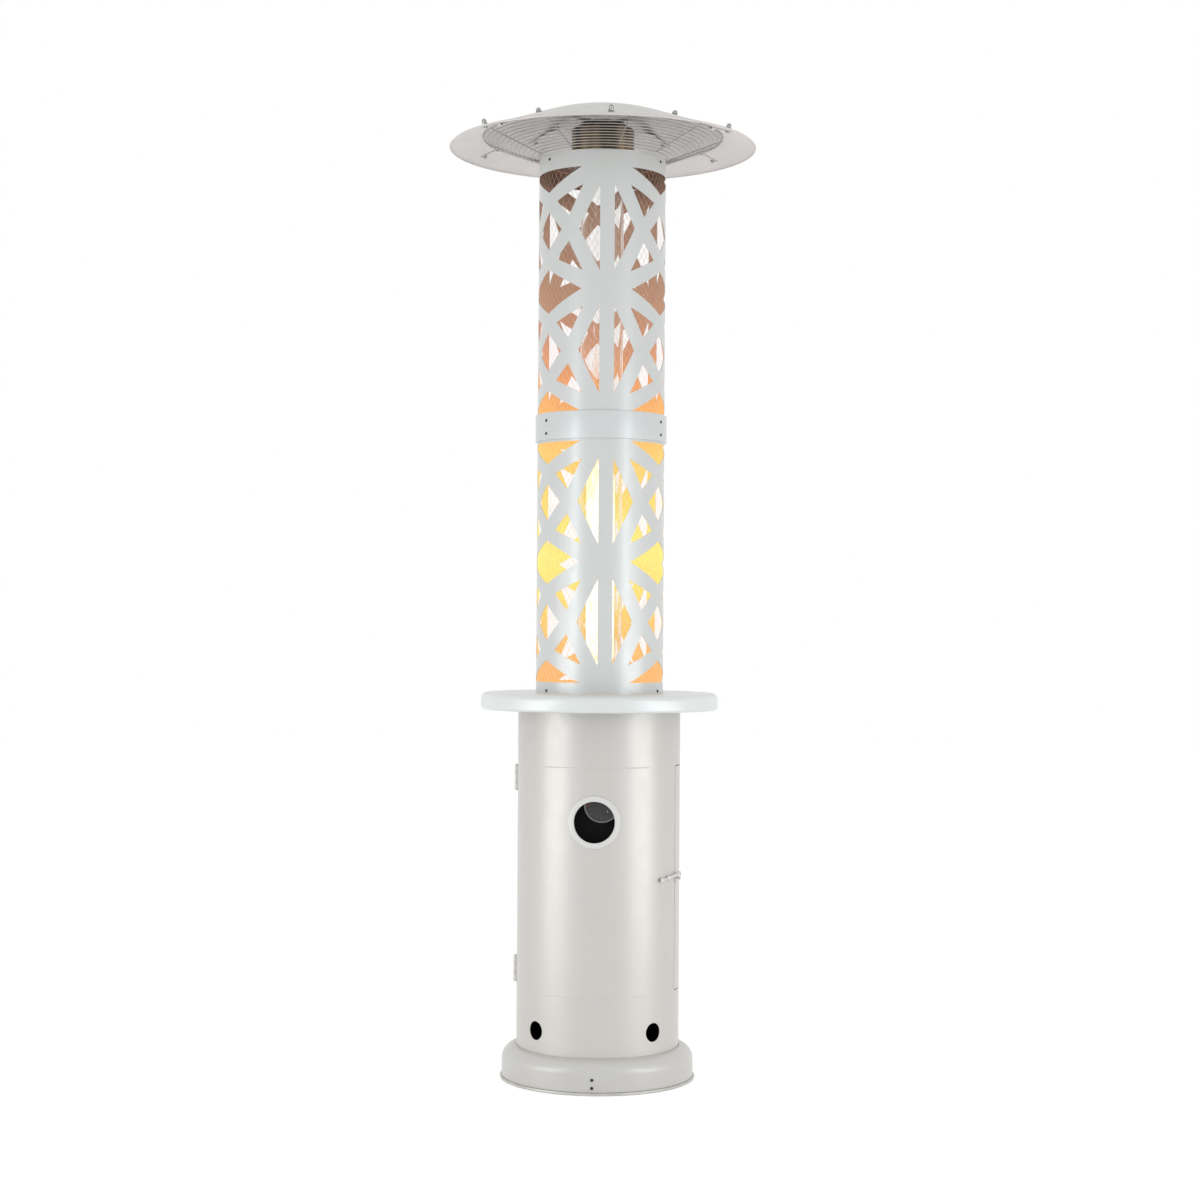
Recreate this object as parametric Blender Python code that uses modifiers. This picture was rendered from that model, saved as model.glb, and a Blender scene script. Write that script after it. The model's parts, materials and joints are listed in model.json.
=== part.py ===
"""Gas patio heater: gas cabinet, round table, perforated column round a glass flame tube, reflector.

Metres, +Z up, standing on z = 0 with the column's axis on Z. The front, with the round control
opening, faces -Y. Azimuths are in degrees from -Y and grow towards +X.
"""

from math import asin, atan, ceil, cos, degrees, floor, hypot, pi, radians, sin

import bmesh
import bpy
from mathutils import Matrix, Vector

# Clearances, how far a cutter stands out of what it cuts, and facets
GAP = 0.0003
MERGE = 0.00001
CUT_REACH = 0.0040
FACETS = 36
SMALL_FACETS = 24
SLEEVE_FACETS = 24
GUARD_FACETS = 18
GRILLE_FACETS = 27
BOLT_FACETS = 8
PIN_FACETS = 12

# Base
BASE_RADIUS = 0.201
BASE_THICKNESS = 0.006
BASE_CHAMFER = 0.0012
BASE_LIP = 0.0035
SKIRT_RADIUS = BASE_RADIUS - BASE_LIP
SKIRT_SHOULDER_Z = 0.040
SKIRT_TOP_Z = 0.068
SKIRT_WALL = 0.0012
SKIRT_CLEARANCE = 0.0007
SHOULDER_STEPS = 3
BASE_SCREW_RADIUS = 0.0032
BASE_SCREW_HEIGHT = 0.0022
BASE_SCREW_ZS = (0.0150, 0.0310)

# Gas cabinet
HOUSING_RADIUS = 0.168
HOUSING_WALL = 0.0012
VENT_RADIUS = 0.019
VENT_Z = 0.113
VENT_AZIMUTHS = (45, 135, 225, 315)
PORT_RADIUS = 0.0415
PORT_Z = 0.5385
PORT_RING_RADIUS = 0.0525
PORT_RING_WALL = 0.0020

# Cabinet door, at the back: its azimuths run from the latch side round to the hinges
DOOR_BOTTOM_Z = 0.187
DOOR_TOP_Z = 0.647
DOOR_LATCH_AZ = 71
DOOR_HINGE_AZ = 268
DOOR_GAP = 0.0015

# Hinges
HINGE_ABOVE_FOOT = 0.033
HINGE_BELOW_HEAD = 0.031
HINGE_ZS = (DOOR_BOTTOM_Z + HINGE_ABOVE_FOOT, DOOR_TOP_Z - HINGE_BELOW_HEAD)
HINGE_HEIGHT = 0.052
HINGE_LEAF_WIDTH = 0.026
HINGE_LEAF_WALL = 0.0015
BARREL_RADIUS = 0.0040
PIN_RADIUS = 0.0018
PIN_HEAD_RADIUS = 0.0030
PIN_HEAD_HEIGHT = 0.0012
MIDDLE_KNUCKLE = 0.022
LEAF_TAB = 0.0010

# Hook latch
LATCH_AZ = 60
LATCH_ABOVE_FOOT = 0.2335
LATCH_Z = DOOR_BOTTOM_Z + LATCH_ABOVE_FOOT
LATCH_REACH = 0.0415
LATCH_REST_ANGLE = 6
PEG_ANGLE = -5
LATCH_STANDOFF = 0.0018
HOOK_THICKNESS = 0.0020
HOOK_WIDTH = 0.0060
HOOK_EYE_RADIUS = 0.0055
RIVET_RADIUS = 0.0020
RIVET_HEAD_RADIUS = 0.0048
RIVET_CROWN_RADIUS = 0.0034
PEG_RADIUS = 0.0022
PEG_HEAD_RADIUS = 0.0035
HEAD_THICKNESS = 0.0016
PEG_PLATE_WIDTH = 0.018
PEG_PLATE_HEIGHT = 0.020
PEG_PLATE_WALL = 0.0015
HOOK_LIP = 0.0032
HOOK_LIP_DROP = 0.0040
HOOK_CROWN = 0.0026
HOOK_PLAY = 0.0010
HOOK_TAIL = 0.031
HOOK_NECK_WIDTH = 0.0050
TAB_LENGTH = 0.012
TAB_WIDTH = 0.0085
TAB_CORNER = 0.0025

# Controls
KNOB_X = 0.014
KNOB_RISE = 0.034
KNOB_RADIUS = 0.038
KNOB_DEPTH = 0.016
KNOB_RIM = 0.0020
KNOB_RECESS = 0.018
KNOB_FRONT_Y = KNOB_RECESS - HOUSING_RADIUS
KNOB_PUSH = 0.004
BOX_HALF_WIDTH = 0.060
BOX_BELOW_PORT = 0.0485
BOX_ABOVE_PORT = 0.0815
BOX_BOTTOM_Z = PORT_Z - BOX_BELOW_PORT
BOX_TOP_Z = PORT_Z + BOX_ABOVE_PORT
BOX_BEHIND_KNOB = 0.036
BOX_BACK_Y = KNOB_FRONT_Y + BOX_BEHIND_KNOB
BOX_WALL = 0.0012
STEM_RADIUS = 0.0040
STEM_BORE_DEPTH = 0.024
STEM_SOCKET = 0.009
VALVE_SIZE = (0.040, 0.034, 0.036)
VALVE_BEVEL = 0.003
INLET_RADIUS = 0.0065
INLET_NUT_RADIUS = 0.0095
INLET_NUT_LENGTH = 0.0096
INLET_LENGTH = 0.024
RISER_RADIUS = 0.0040
RISER_STEPS = 6
RISER_STRAIGHT = 0.030

# Burner
BURNER_RADIUS = 0.030
BURNER_HEIGHT = 0.034
BURNER_THROAT_RADIUS = 0.014
BURNER_THROAT_LENGTH = 0.058
BURNER_CHAMFER = 0.005
PROBE_CIRCLE = 0.0350
PROBE_RADIUS = 0.0014
PROBE_HEIGHT = 0.050
PROBE_BASE_RADIUS = 0.0024
PROBE_BASE_HEIGHT = 0.018

# Table
TABLE_RADIUS = 0.245
TABLE_TOP_Z = 0.793
TABLE_DEPTH = 0.034
TABLE_WALL = 0.0015
TABLE_ROUND = 0.006
TABLE_HEM = 0.012
THROAT_CLEARANCE = 0.003

# Column
SLEEVE_RADIUS = 0.1316
SLEEVE_WALL = 0.0012
SLEEVE_JOINT_Z = 1.339
SLEEVE_TOP_Z = 1.895
STAR_AZ = 7.5
LOWER_BANDS = (0.023, 0.033)
UPPER_BANDS = (0.027, 0.033)
JOINT_BAND_RADIUS = 0.136
JOINT_BAND_HEIGHT = 0.056
GUARD_WALL = 0.0015
GUARD_STRAND = 0.0040
GUARD_DIAMOND_HEIGHT = 0.180
GUARD_MARGIN = 0.008
PLATE_THICKNESS = 0.0015

# Star cut-outs of one cell, as angle from the star's axis and height from the cell's end
WINDOW_EDGE_ANGLE = 6.5
WINDOW_TIP_ANGLE = 25.5
CUT_INSET = 0.036
KITE_INNER_ANGLE = 21.5
KITE_OUTER = (49.0, 0.065)
KITE_TIP = (35.5, 0.098)
DIAMOND_HALF_ANGLE = 16.7
DIAMOND_INSET = 0.085
WEDGE_HALF_ANGLE = 37.3
WEDGE_HALF_HEIGHT = 0.045
STAR_STEP = 120

# Glass tube
GLASS_RADIUS = 0.0445
GLASS_WALL = 0.0030
GLASS_SEAT_RADIUS = 0.0560
GLASS_SEAT_BASE = 0.007
GLASS_SEAT_HEIGHT = 0.022
GLASS_SEAT_LIP = 0.003
GLASS_TOP_REACH = 0.012

# Emitter
EMITTER_RADIUS = 0.0655
EMITTER_HEIGHT = 0.071
EMITTER_TOP_Z = SLEEVE_TOP_Z + EMITTER_HEIGHT
EMITTER_ROUND = 0.008
EMITTER_WALL = 0.0012
EMITTER_HOLE_RADIUS = 0.036
CAP_RADIUS = 0.047
CAP_HEIGHT = 0.009
CAP_CHAMFER = 0.0014
CAP_BOLT_CIRCLE = 0.036
CAP_BOLT_DEPTH = 0.005

# Reflector, measured on its upper surface
REFLECTOR_RADIUS = 0.319
RIM_BELOW_EMITTER = 0.041
REFLECTOR_RIM_Z = EMITTER_TOP_Z - RIM_BELOW_EMITTER
REFLECTOR_WALL = 0.0012
BRIM_WIDTH = 0.057
CONE_WIDTH = 0.1165
BRIM_RADIUS = REFLECTOR_RADIUS - BRIM_WIDTH
DOME_RADIUS = BRIM_RADIUS - CONE_WIDTH
CONE_SLOPE = 0.355
BRIM_SLOPE = 0.310
RIM_CURL = 0.0035
DOME_STEPS = 3

# Reflector fixings
BOLT_INSET = 0.036
BOLT_CIRCLE = REFLECTOR_RADIUS - BOLT_INSET
BOLT_COUNT = 6
BOLT_AZ = 6.2
BOLT_RADIUS = 0.0025
BOLT_HEAD_RADIUS = 0.0050
BOLT_HEAD_HEIGHT = 0.0025
NUT_RADIUS = 0.0064
NUT_HEIGHT = 0.014
WASHER_HEIGHT = 0.0038
SMALL_NUT_HEIGHT = 0.009

# A domed nut's shoulder and belly as shares of its radius and of the dome's height, and its neck
NUT_SHOULDER = (0.68, 0.16)
NUT_BELLY = (0.94, 0.55)
NUT_NECK = 0.74

# Bracket that carries the reflector
ARM_COUNT = 4
ARM_AZ = BOLT_AZ + 45
ARM_WIDTH = 0.020
ARM_WALL = 0.0020
ARM_ROOT = 0.030
ARM_BOLT_INSET = 0.125
ARM_LEAN_LENGTH = 0.044
ARM_BOLT_CIRCLE = REFLECTOR_RADIUS - ARM_BOLT_INSET
ARM_BEND_RADIUS = ARM_BOLT_CIRCLE - ARM_LEAN_LENGTH
ARM_END = 0.011

# Wire grille
GRILLE_INSET = 0.071
GRILLE_CLEARANCE = 0.0054
GRILLE_RISE = 0.005
GRILLE_RADIUS = REFLECTOR_RADIUS - GRILLE_INSET
GRILLE_INNER_RADIUS = SLEEVE_RADIUS + GRILLE_CLEARANCE
GRILLE_INNER_Z = SLEEVE_TOP_Z + GRILLE_RISE
GRILLE_RINGS = 9
GRILLE_RADIALS = 9
GRILLE_AZ = 16
WIRE = 0.0030
CLIP_WIDTH = 0.012
CLIP_WALL = 0.0012
CLIP_END = 0.007
CLIP_LIP = 0.003

PARTS = bpy.data.collections.new("patio_heater")
CUTTERS = bpy.data.collections.new("cutters")


# Scene and materials


def clear_scene():
    """Empties the file and links the two collections."""
    for obj in list(bpy.data.objects):
        bpy.data.objects.remove(obj, do_unlink=True)
    for collection in (PARTS, CUTTERS):
        bpy.context.scene.collection.children.link(collection)


def surface(name, colour, roughness, metallic=0.0, alpha=1.0):
    """A Principled material."""
    material = bpy.data.materials.new(name)
    material.use_nodes = True
    shader = material.node_tree.nodes["Principled BSDF"]
    shader.inputs["Base Color"].default_value = (*colour, 1.0)
    shader.inputs["Roughness"].default_value = roughness
    shader.inputs["Metallic"].default_value = metallic
    shader.inputs["Alpha"].default_value = alpha
    material.diffuse_color = (*colour, alpha)
    return material


PEARL_PAINT = surface("pearl_paint", (0.72, 0.70, 0.67), 0.22)
TABLE_PAINT = surface("table_paint", (0.78, 0.79, 0.76), 0.20)
SLEEVE_PAINT = surface("sleeve_paint", (0.68, 0.69, 0.66), 0.30)
BASE_STEEL = surface("base_steel", (0.52, 0.51, 0.49), 0.40, 0.6)
REFLECTOR_STEEL = surface("reflector_steel", (0.70, 0.68, 0.65), 0.30, 0.9)
STEEL = surface("zinc_steel", (0.60, 0.60, 0.59), 0.35, 1.0)
BRIGHT_STEEL = surface("bright_steel", (0.75, 0.75, 0.74), 0.18, 1.0)
GUARD_STEEL = surface("guard_steel", (0.16, 0.14, 0.12), 0.55, 0.8)
TINTED_STEEL = surface("heat_tinted_steel", (0.55, 0.42, 0.26), 0.25, 1.0)
BLACK_STEEL = surface("black_steel", (0.03, 0.03, 0.032), 0.50, 0.2)
KNOB_PLASTIC = surface("knob_plastic", (0.16, 0.16, 0.15), 0.35)
BRASS = surface("brass", (0.70, 0.52, 0.24), 0.30, 1.0)
GLASS = surface("glass", (0.92, 0.94, 0.93), 0.05, 0.0, 0.25)


# Shapes


def polar(radius, azimuth, z=0.0):
    """The point at this radius and azimuth."""
    angle = radians(azimuth)
    return Vector((radius * sin(angle), -radius * cos(angle), z))


def add_mesh(name, mesh, material, at=(0, 0, 0), collection=PARTS):
    """Links a mesh as an object of its own, smooth but for its sharp edges."""
    mesh.name = name
    mesh.shade_smooth()
    mesh.set_sharp_from_angle(angle=radians(32))
    mesh.materials.append(material)
    obj = bpy.data.objects.new(name, mesh)
    obj.location = at
    collection.objects.link(obj)
    return obj


def mesh_of(shape):
    """Turns a bmesh into a mesh and frees it."""
    mesh = bpy.data.meshes.new("shape")
    shape.to_mesh(mesh)
    shape.free()
    return mesh


def thicken(obj, wall, side):
    """Solidify, inwards with side -1 and outwards with side 1."""
    solid = obj.modifiers.new("Wall", "SOLIDIFY")
    solid.thickness = wall
    solid.offset = side
    solid.use_even_offset = True
    return obj


def turned(name, profile, facets, material, at=(0, 0, 0), wall=0.0, closed=False):
    """A profile of (radius, z) points, run down the outer side, turned about Z."""
    shape = bmesh.new()
    points = [shape.verts.new((radius, 0, z)) for radius, z in profile]
    for start, end in zip(points, points[1:]):
        shape.edges.new((start, end))
    if closed:
        shape.edges.new((points[-1], points[0]))
    obj = add_mesh(name, mesh_of(shape), material, at)
    screw = obj.modifiers.new("Turn", "SCREW")
    screw.steps = facets
    screw.render_steps = facets
    screw.use_merge_vertices = True
    screw.merge_threshold = MERGE
    if wall:
        thicken(obj, wall, -1)
    return obj


def baked(obj):
    """Applies the object's modifiers, so that it can be joined or used as a cutter."""
    graph = bpy.context.evaluated_depsgraph_get()
    mesh = bpy.data.meshes.new_from_object(obj.evaluated_get(graph), depsgraph=graph)
    mesh.transform(obj.matrix_basis)
    bpy.data.objects.remove(obj)
    return mesh


def curve_mesh(curve):
    """The mesh that a curve draws, with its caps welded."""
    guide = bpy.data.objects.new("guide", curve)
    PARTS.objects.link(guide)
    mesh = baked(guide)
    shape = bmesh.new()
    shape.from_mesh(mesh)
    bmesh.ops.remove_doubles(shape, verts=shape.verts, dist=MERGE)
    return shape


def flat_curve(outlines, thickness=0.0):
    """A filled 2D curve: the first outline is the edge and the others are holes."""
    curve = bpy.data.curves.new("outline", "CURVE")
    curve.dimensions = "2D"
    curve.fill_mode = "BOTH"
    curve.extrude = thickness / 2
    for outline in outlines:
        spline = curve.splines.new("POLY")
        spline.points.add(len(outline) - 1)
        for point, (x, y) in zip(spline.points, outline):
            point.co = (x, y, 0, 1)
        spline.use_cyclic_u = True
    return curve


def circle(x, y, radius, count=16):
    """Points round a circle, as a flat outline."""
    steps = (2 * pi * step / count for step in range(count))
    return [(x + radius * cos(angle), y + radius * sin(angle)) for angle in steps]


def rectangle(left, bottom, right, top):
    """A rectangle's corners, as a flat outline."""
    return [(left, bottom), (right, bottom), (right, top), (left, top)]


def straight(vert):
    """True for a point on a straight run between two edges, which adds no shape."""
    if len(vert.link_edges) != 2:
        return False
    first, second = (edge.other_vert(vert).co - vert.co for edge in vert.link_edges)
    return first.angle(second) > radians(179.9)


def rolled_sheet(name, outlines, place, facet, wall, side, material):
    """A flat sheet that bends at every facet's length along X, rolled up by place and thickened."""
    sheet = curve_mesh(flat_curve(outlines))
    lengths = [x for x, y in outlines[0]]
    first, last = floor(min(lengths) / facet) + 1, ceil(max(lengths) / facet)
    scores = [facet * index for index in range(first, last)]
    for x in scores:
        cut = sheet.verts[:] + sheet.edges[:] + sheet.faces[:]
        bmesh.ops.bisect_plane(sheet, geom=cut, dist=MERGE, plane_co=(x, 0, 0), plane_no=(1, 0, 0))
    bmesh.ops.remove_doubles(sheet, verts=sheet.verts, dist=MERGE)

    def on_score(edge):
        ends = [vert.co.x for vert in edge.verts]
        return any(max(abs(end - x) for end in ends) < 2 * MERGE for x in scores)

    fill_lines = [edge for edge in sheet.edges if len(edge.link_faces) == 2 and not on_score(edge)]
    bmesh.ops.dissolve_edges(sheet, edges=fill_lines, use_verts=False)
    bmesh.ops.dissolve_verts(sheet, verts=[vert for vert in sheet.verts if straight(vert)])
    for vert in sheet.verts:
        x, y = vert.co.x, vert.co.y
        left = floor(x / facet) * facet
        vert.co = place(left, y).lerp(place(left + facet, y), (x - left) / facet)
    bmesh.ops.remove_doubles(sheet, verts=sheet.verts, dist=MERGE)
    face = max(sheet.faces, key=lambda item: item.calc_area())
    face.normal_update()
    middle = face.calc_center_median()
    if face.normal.dot(Vector((middle.x, middle.y, 0))) < 0:
        bmesh.ops.reverse_faces(sheet, faces=sheet.faces)
    return thicken(add_mesh(name, mesh_of(sheet), material), wall, side)


def on_cylinder(radius):
    """Rolls a length along X round a cylinder, from azimuth 0."""
    return lambda x, y: polar(radius, degrees(x / radius), y)


def rolled(name, outlines, radius, facets, wall, side, material):
    """A sheet rolled round the axis, drawn as length round the cylinder and height."""
    facet = 2 * pi * radius / facets
    return rolled_sheet(name, outlines, on_cylinder(radius), facet, wall, side, material)


def round_plate(name, radius, azimuths, heights, wall, side, material):
    """A plain curved plate between two azimuths and two heights."""
    start, end = azimuths
    edge = rectangle(radians(start) * radius, heights[0], radians(end) * radius, heights[1])
    return rolled(name, [edge], radius, FACETS, wall, side, material)


def ribbon(path, width):
    """An open strip that follows (radius, z) points and is as wide as stated, as a bmesh."""
    curve = bpy.data.curves.new("ribbon", "CURVE")
    curve.dimensions = "3D"
    curve.extrude = width / 2
    spline = curve.splines.new("POLY")
    spline.points.add(len(path) - 1)
    for point, (radius, z) in zip(spline.points, path):
        point.co = (radius, z, 0, 1)
    return curve_mesh(curve)


def strap(name, path, width, wall, azimuth, material):
    """A bent strap along (radius, z) points, standing at an azimuth."""
    shape = ribbon(path, width)
    stand = Matrix.Rotation(radians(azimuth - 90), 4, "Z") @ Matrix.Rotation(pi / 2, 4, "X")
    bmesh.ops.transform(shape, matrix=stand, verts=shape.verts)
    return thicken(add_mesh(name, mesh_of(shape), material), wall, 0)


def tube(name, path, radius, material, sides=2):
    """A round rod along a list of points."""
    curve = bpy.data.curves.new(name, "CURVE")
    curve.dimensions = "3D"
    curve.bevel_depth = radius
    curve.bevel_resolution = sides
    curve.use_fill_caps = True
    spline = curve.splines.new("POLY")
    spline.points.add(len(path) - 1)
    for point, place in zip(spline.points, path):
        point.co = (*place, 1)
    return add_mesh(name, mesh_of(curve_mesh(curve)), material)


def block(name, size, centre, material):
    """A box."""
    shape = bmesh.new()
    bmesh.ops.create_cube(shape, size=1.0)
    bmesh.ops.scale(shape, vec=size, verts=shape.verts)
    return add_mesh(name, mesh_of(shape), material, centre)


def rods(name, places, radius, low, high, facets, material):
    """Cylinders between two heights along the local Z of each place, in one helper object."""
    shape = bmesh.new()
    for place in places:
        middle = Matrix.Translation((0, 0, (low + high) / 2))
        bmesh.ops.create_cone(
            shape,
            cap_ends=True,
            segments=facets,
            radius1=radius,
            radius2=radius,
            depth=high - low,
            matrix=place @ middle,
        )
    return add_mesh(name, mesh_of(shape), material, collection=CUTTERS)


def as_helper(obj):
    """Makes an object a cutter, which isn't part of the heater."""
    for collection in list(obj.users_collection):
        collection.objects.unlink(obj)
    CUTTERS.objects.link(obj)
    obj.hide_render = True
    obj.display_type = "WIRE"
    return obj


def combine(target, tool, operation):
    """Adds a Boolean with a helper object."""
    as_helper(tool)
    boolean = target.modifiers.new(operation.title(), "BOOLEAN")
    boolean.operation = operation
    boolean.object = tool
    boolean.solver = "EXACT"
    return target


def set_origin(obj, point):
    """Moves an object's origin without moving its shape."""
    obj.data.transform(Matrix.Translation(obj.location - point))
    obj.location = point


def pivot(name, point):
    """An empty on a joint's axis."""
    empty = bpy.data.objects.new(name, None)
    empty.empty_display_size = 0.02
    empty.location = point
    PARTS.objects.link(empty)
    return empty


def hang(parent, *children):
    """Parents pieces to an unrotated empty, and leaves them in place."""
    for child in children:
        child.parent = parent
        child.location -= parent.location


def facet_radius(radius, azimuth):
    """How far from the axis a faceted cylinder's wall lies at an azimuth."""
    step = 360 / FACETS
    middle = (floor(azimuth / step) + 0.5) * step
    return radius * cos(radians(step / 2)) / cos(radians(azimuth - middle))


# Base


def make_base():
    top = BASE_THICKNESS
    edge = BASE_RADIUS - BASE_CHAMFER
    profile = [
        (0, top),
        (edge, top),
        (BASE_RADIUS, top - BASE_CHAMFER),
        (BASE_RADIUS, BASE_CHAMFER),
        (edge, 0),
        (0, 0),
    ]
    turned("base_plate", profile, FACETS, BASE_STEEL)

    inner = HOUSING_RADIUS + SKIRT_CLEARANCE
    shoulder = []
    for step in range(SHOULDER_STEPS + 1):
        angle = pi / 2 * step / SHOULDER_STEPS
        radius = inner + (SKIRT_RADIUS - inner) * sin(angle)
        z = SKIRT_SHOULDER_Z + (SKIRT_TOP_Z - SKIRT_SHOULDER_Z) * cos(angle)
        shoulder.append((radius, z))
    profile = shoulder + [(SKIRT_RADIUS, BASE_THICKNESS + GAP)]
    turned("base_skirt", profile, FACETS, PEARL_PAINT, wall=SKIRT_WALL)

    half = BASE_SCREW_HEIGHT / 2
    head = [
        (0, BASE_SCREW_HEIGHT),
        (BASE_SCREW_RADIUS - half, BASE_SCREW_HEIGHT),
        (BASE_SCREW_RADIUS, half),
        (BASE_SCREW_RADIUS, 0),
        (0, 0),
    ]
    for number, z in enumerate(BASE_SCREW_ZS, 1):
        place = polar(SKIRT_RADIUS + GAP, 0, z)
        screw = turned(f"base_screw_{number}", head, BOLT_FACETS, STEEL, place)
        screw.rotation_euler = (pi / 2, 0, 0)


# Gas cabinet


def port_place():
    """The front opening's centre on the flat housing sheet, one turn on from azimuth 0."""
    return 2 * pi, PORT_Z


def make_housing():
    radius = HOUSING_RADIUS
    start, end = 30, 390
    bottom = BASE_THICKNESS + GAP
    top = TABLE_TOP_Z - TABLE_WALL - GAP
    outline = rectangle(radians(start) * radius, bottom, radians(end) * radius, top)
    doorway = rectangle(
        radians(DOOR_LATCH_AZ) * radius,
        DOOR_BOTTOM_Z,
        radians(DOOR_HINGE_AZ) * radius + DOOR_GAP / 2,
        DOOR_TOP_Z,
    )
    turn, z = port_place()
    holes = [doorway, circle(turn * radius, z, PORT_RADIUS, SMALL_FACETS)]
    holes += [circle(radians(azimuth) * radius, VENT_Z, VENT_RADIUS) for azimuth in VENT_AZIMUTHS]
    rolled("housing_shell", [outline] + holes, radius, FACETS, HOUSING_WALL, -1, PEARL_PAINT)

    ring_radius = radius + GAP
    middle = turn * ring_radius
    outlines = [
        circle(middle, z, PORT_RING_RADIUS, SMALL_FACETS),
        circle(middle, z, PORT_RADIUS, SMALL_FACETS),
    ]
    rolled("port_ring", outlines, ring_radius, FACETS, PORT_RING_WALL, 1, TABLE_PAINT)


def hinge_axis():
    """The hinges' axis, just off the housing's wall."""
    return polar(HOUSING_RADIUS + GAP + BARREL_RADIUS, DOOR_HINGE_AZ)


def make_door():
    radius = HOUSING_RADIUS
    start = DOOR_LATCH_AZ + degrees(DOOR_GAP / radius)
    end = DOOR_HINGE_AZ - degrees(DOOR_GAP / 2 / radius)
    heights = (DOOR_BOTTOM_Z + DOOR_GAP, DOOR_TOP_Z - DOOR_GAP)
    door = round_plate("cabinet_door", radius, (start, end), heights, HOUSING_WALL, -1, PEARL_PAINT)
    set_origin(door, hinge_axis())
    return door


def knuckle_mesh(name, low, high):
    """A hinge knuckle with its bore, standing on the hinge axis."""
    bore = (PIN_RADIUS + GAP) / cos(pi / PIN_FACETS)
    profile = [(BARREL_RADIUS, high), (BARREL_RADIUS, low), (bore, low), (bore, high)]
    return turned(name, profile, PIN_FACETS, STEEL, hinge_axis(), closed=True)


def make_leaf(name, direction, spans, middle):
    """A hinge leaf with a tab at each of its knuckles, on one side of the axis."""
    radius = HOUSING_RADIUS + GAP
    axis = radians(DOOR_HINGE_AZ) * radius
    clear = BARREL_RADIUS
    low, high = middle - HINGE_HEIGHT / 2, middle + HINGE_HEIGHT / 2
    edge = [(axis + direction * HINGE_LEAF_WIDTH, low)]
    at_root = []
    for bottom, top in spans:
        at_root += [(clear, bottom), (LEAF_TAB, bottom), (LEAF_TAB, top), (clear, top)]
    if spans[0][0] == low:
        at_root = at_root[1:-1]
    else:
        at_root = [(clear, low)] + at_root + [(clear, high)]
    edge += [(axis + direction * offset, z) for offset, z in at_root]
    edge.append((axis + direction * HINGE_LEAF_WIDTH, high))
    leaf = rolled(name, [edge], radius, FACETS, HINGE_LEAF_WALL, 1, STEEL)
    for number, (bottom, top) in enumerate(spans, 1):
        knuckle = knuckle_mesh(f"{name}_knuckle_{number}", bottom, top)
        combine(leaf, knuckle, "UNION")
    return leaf


def make_hinge(name, middle):
    """A butt hinge: the shell's leaf has the outer knuckles and the door's leaf the middle one."""
    low, high = middle - HINGE_HEIGHT / 2, middle + HINGE_HEIGHT / 2
    inner_low, inner_high = middle - MIDDLE_KNUCKLE / 2, middle + MIDDLE_KNUCKLE / 2
    outer = [(low, inner_low - GAP), (inner_high + GAP, high)]
    make_leaf(f"{name}_shell_leaf", 1, outer, middle)
    door_leaf = make_leaf(f"{name}_door_leaf", -1, [(inner_low, inner_high)], middle)
    set_origin(door_leaf, hinge_axis())

    head = HINGE_HEIGHT / 2 + GAP
    profile = [
        (0, head + PIN_HEAD_HEIGHT),
        (PIN_HEAD_RADIUS, head + PIN_HEAD_HEIGHT),
        (PIN_HEAD_RADIUS, head),
        (PIN_RADIUS, head),
        (PIN_RADIUS, -head),
        (PIN_HEAD_RADIUS, -head),
        (PIN_HEAD_RADIUS, -head - PIN_HEAD_HEIGHT),
        (0, -head - PIN_HEAD_HEIGHT),
    ]
    turned(f"{name}_pin", profile, PIN_FACETS, STEEL, hinge_axis() + Vector((0, 0, middle)))
    return door_leaf


# Hook latch


def latch_frame():
    """Local X along the wall towards the door, Y up and Z out of it, at the hook's pivot."""
    out = polar(1, LATCH_AZ)
    along = Vector((cos(radians(LATCH_AZ)), sin(radians(LATCH_AZ)), 0))
    place = Matrix((along, Vector((0, 0, 1)), out)).transposed().to_4x4()
    place.translation = polar(facet_radius(HOUSING_RADIUS, LATCH_AZ), LATCH_AZ, LATCH_Z)
    return place


def hook_tail():
    """The upper edge of the finger tab and its neck, from the eye to the tab's end."""
    neck, tab = HOOK_NECK_WIDTH / 2, TAB_WIDTH / 2
    root = HOOK_TAIL - TAB_LENGTH
    return [
        (-HOOK_EYE_RADIUS, neck),
        (-root, neck),
        (-root - TAB_CORNER, tab),
        (-HOOK_TAIL + TAB_CORNER, tab),
        (-HOOK_TAIL, tab - TAB_CORNER),
    ]


def hook_outline():
    """The hook level: an eye on the pivot, a finger tab behind it, a bar and a jaw for the peg."""
    half = HOOK_WIDTH / 2
    notch = PEG_RADIUS + HOOK_PLAY
    crown = notch + HOOK_CROWN
    reach = LATCH_REACH
    upper = [
        (HOOK_EYE_RADIUS * cos(radians(angle)), HOOK_EYE_RADIUS * sin(radians(angle)))
        for angle in range(45, 136, 30)
    ]
    upper += hook_tail()
    outline = upper + [(x, -y) for x, y in reversed(upper)]
    outline += [(HOOK_EYE_RADIUS + half, -half), (reach - notch, -half), (reach - notch, 0)]
    outline += [
        (reach - notch * cos(radians(angle)), notch * sin(radians(angle)))
        for angle in (30, 60, 90, 120, 150)
    ]
    far = reach + notch + HOOK_LIP
    outline += [
        (reach + notch, 0),
        (reach + notch, -HOOK_LIP_DROP),
        (far, -HOOK_LIP_DROP),
        (far, half),
        (reach + notch, crown),
        (reach - notch, crown),
        (reach - notch - HOOK_LIP, half),
        (HOOK_EYE_RADIUS + half, half),
    ]
    return outline


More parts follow.
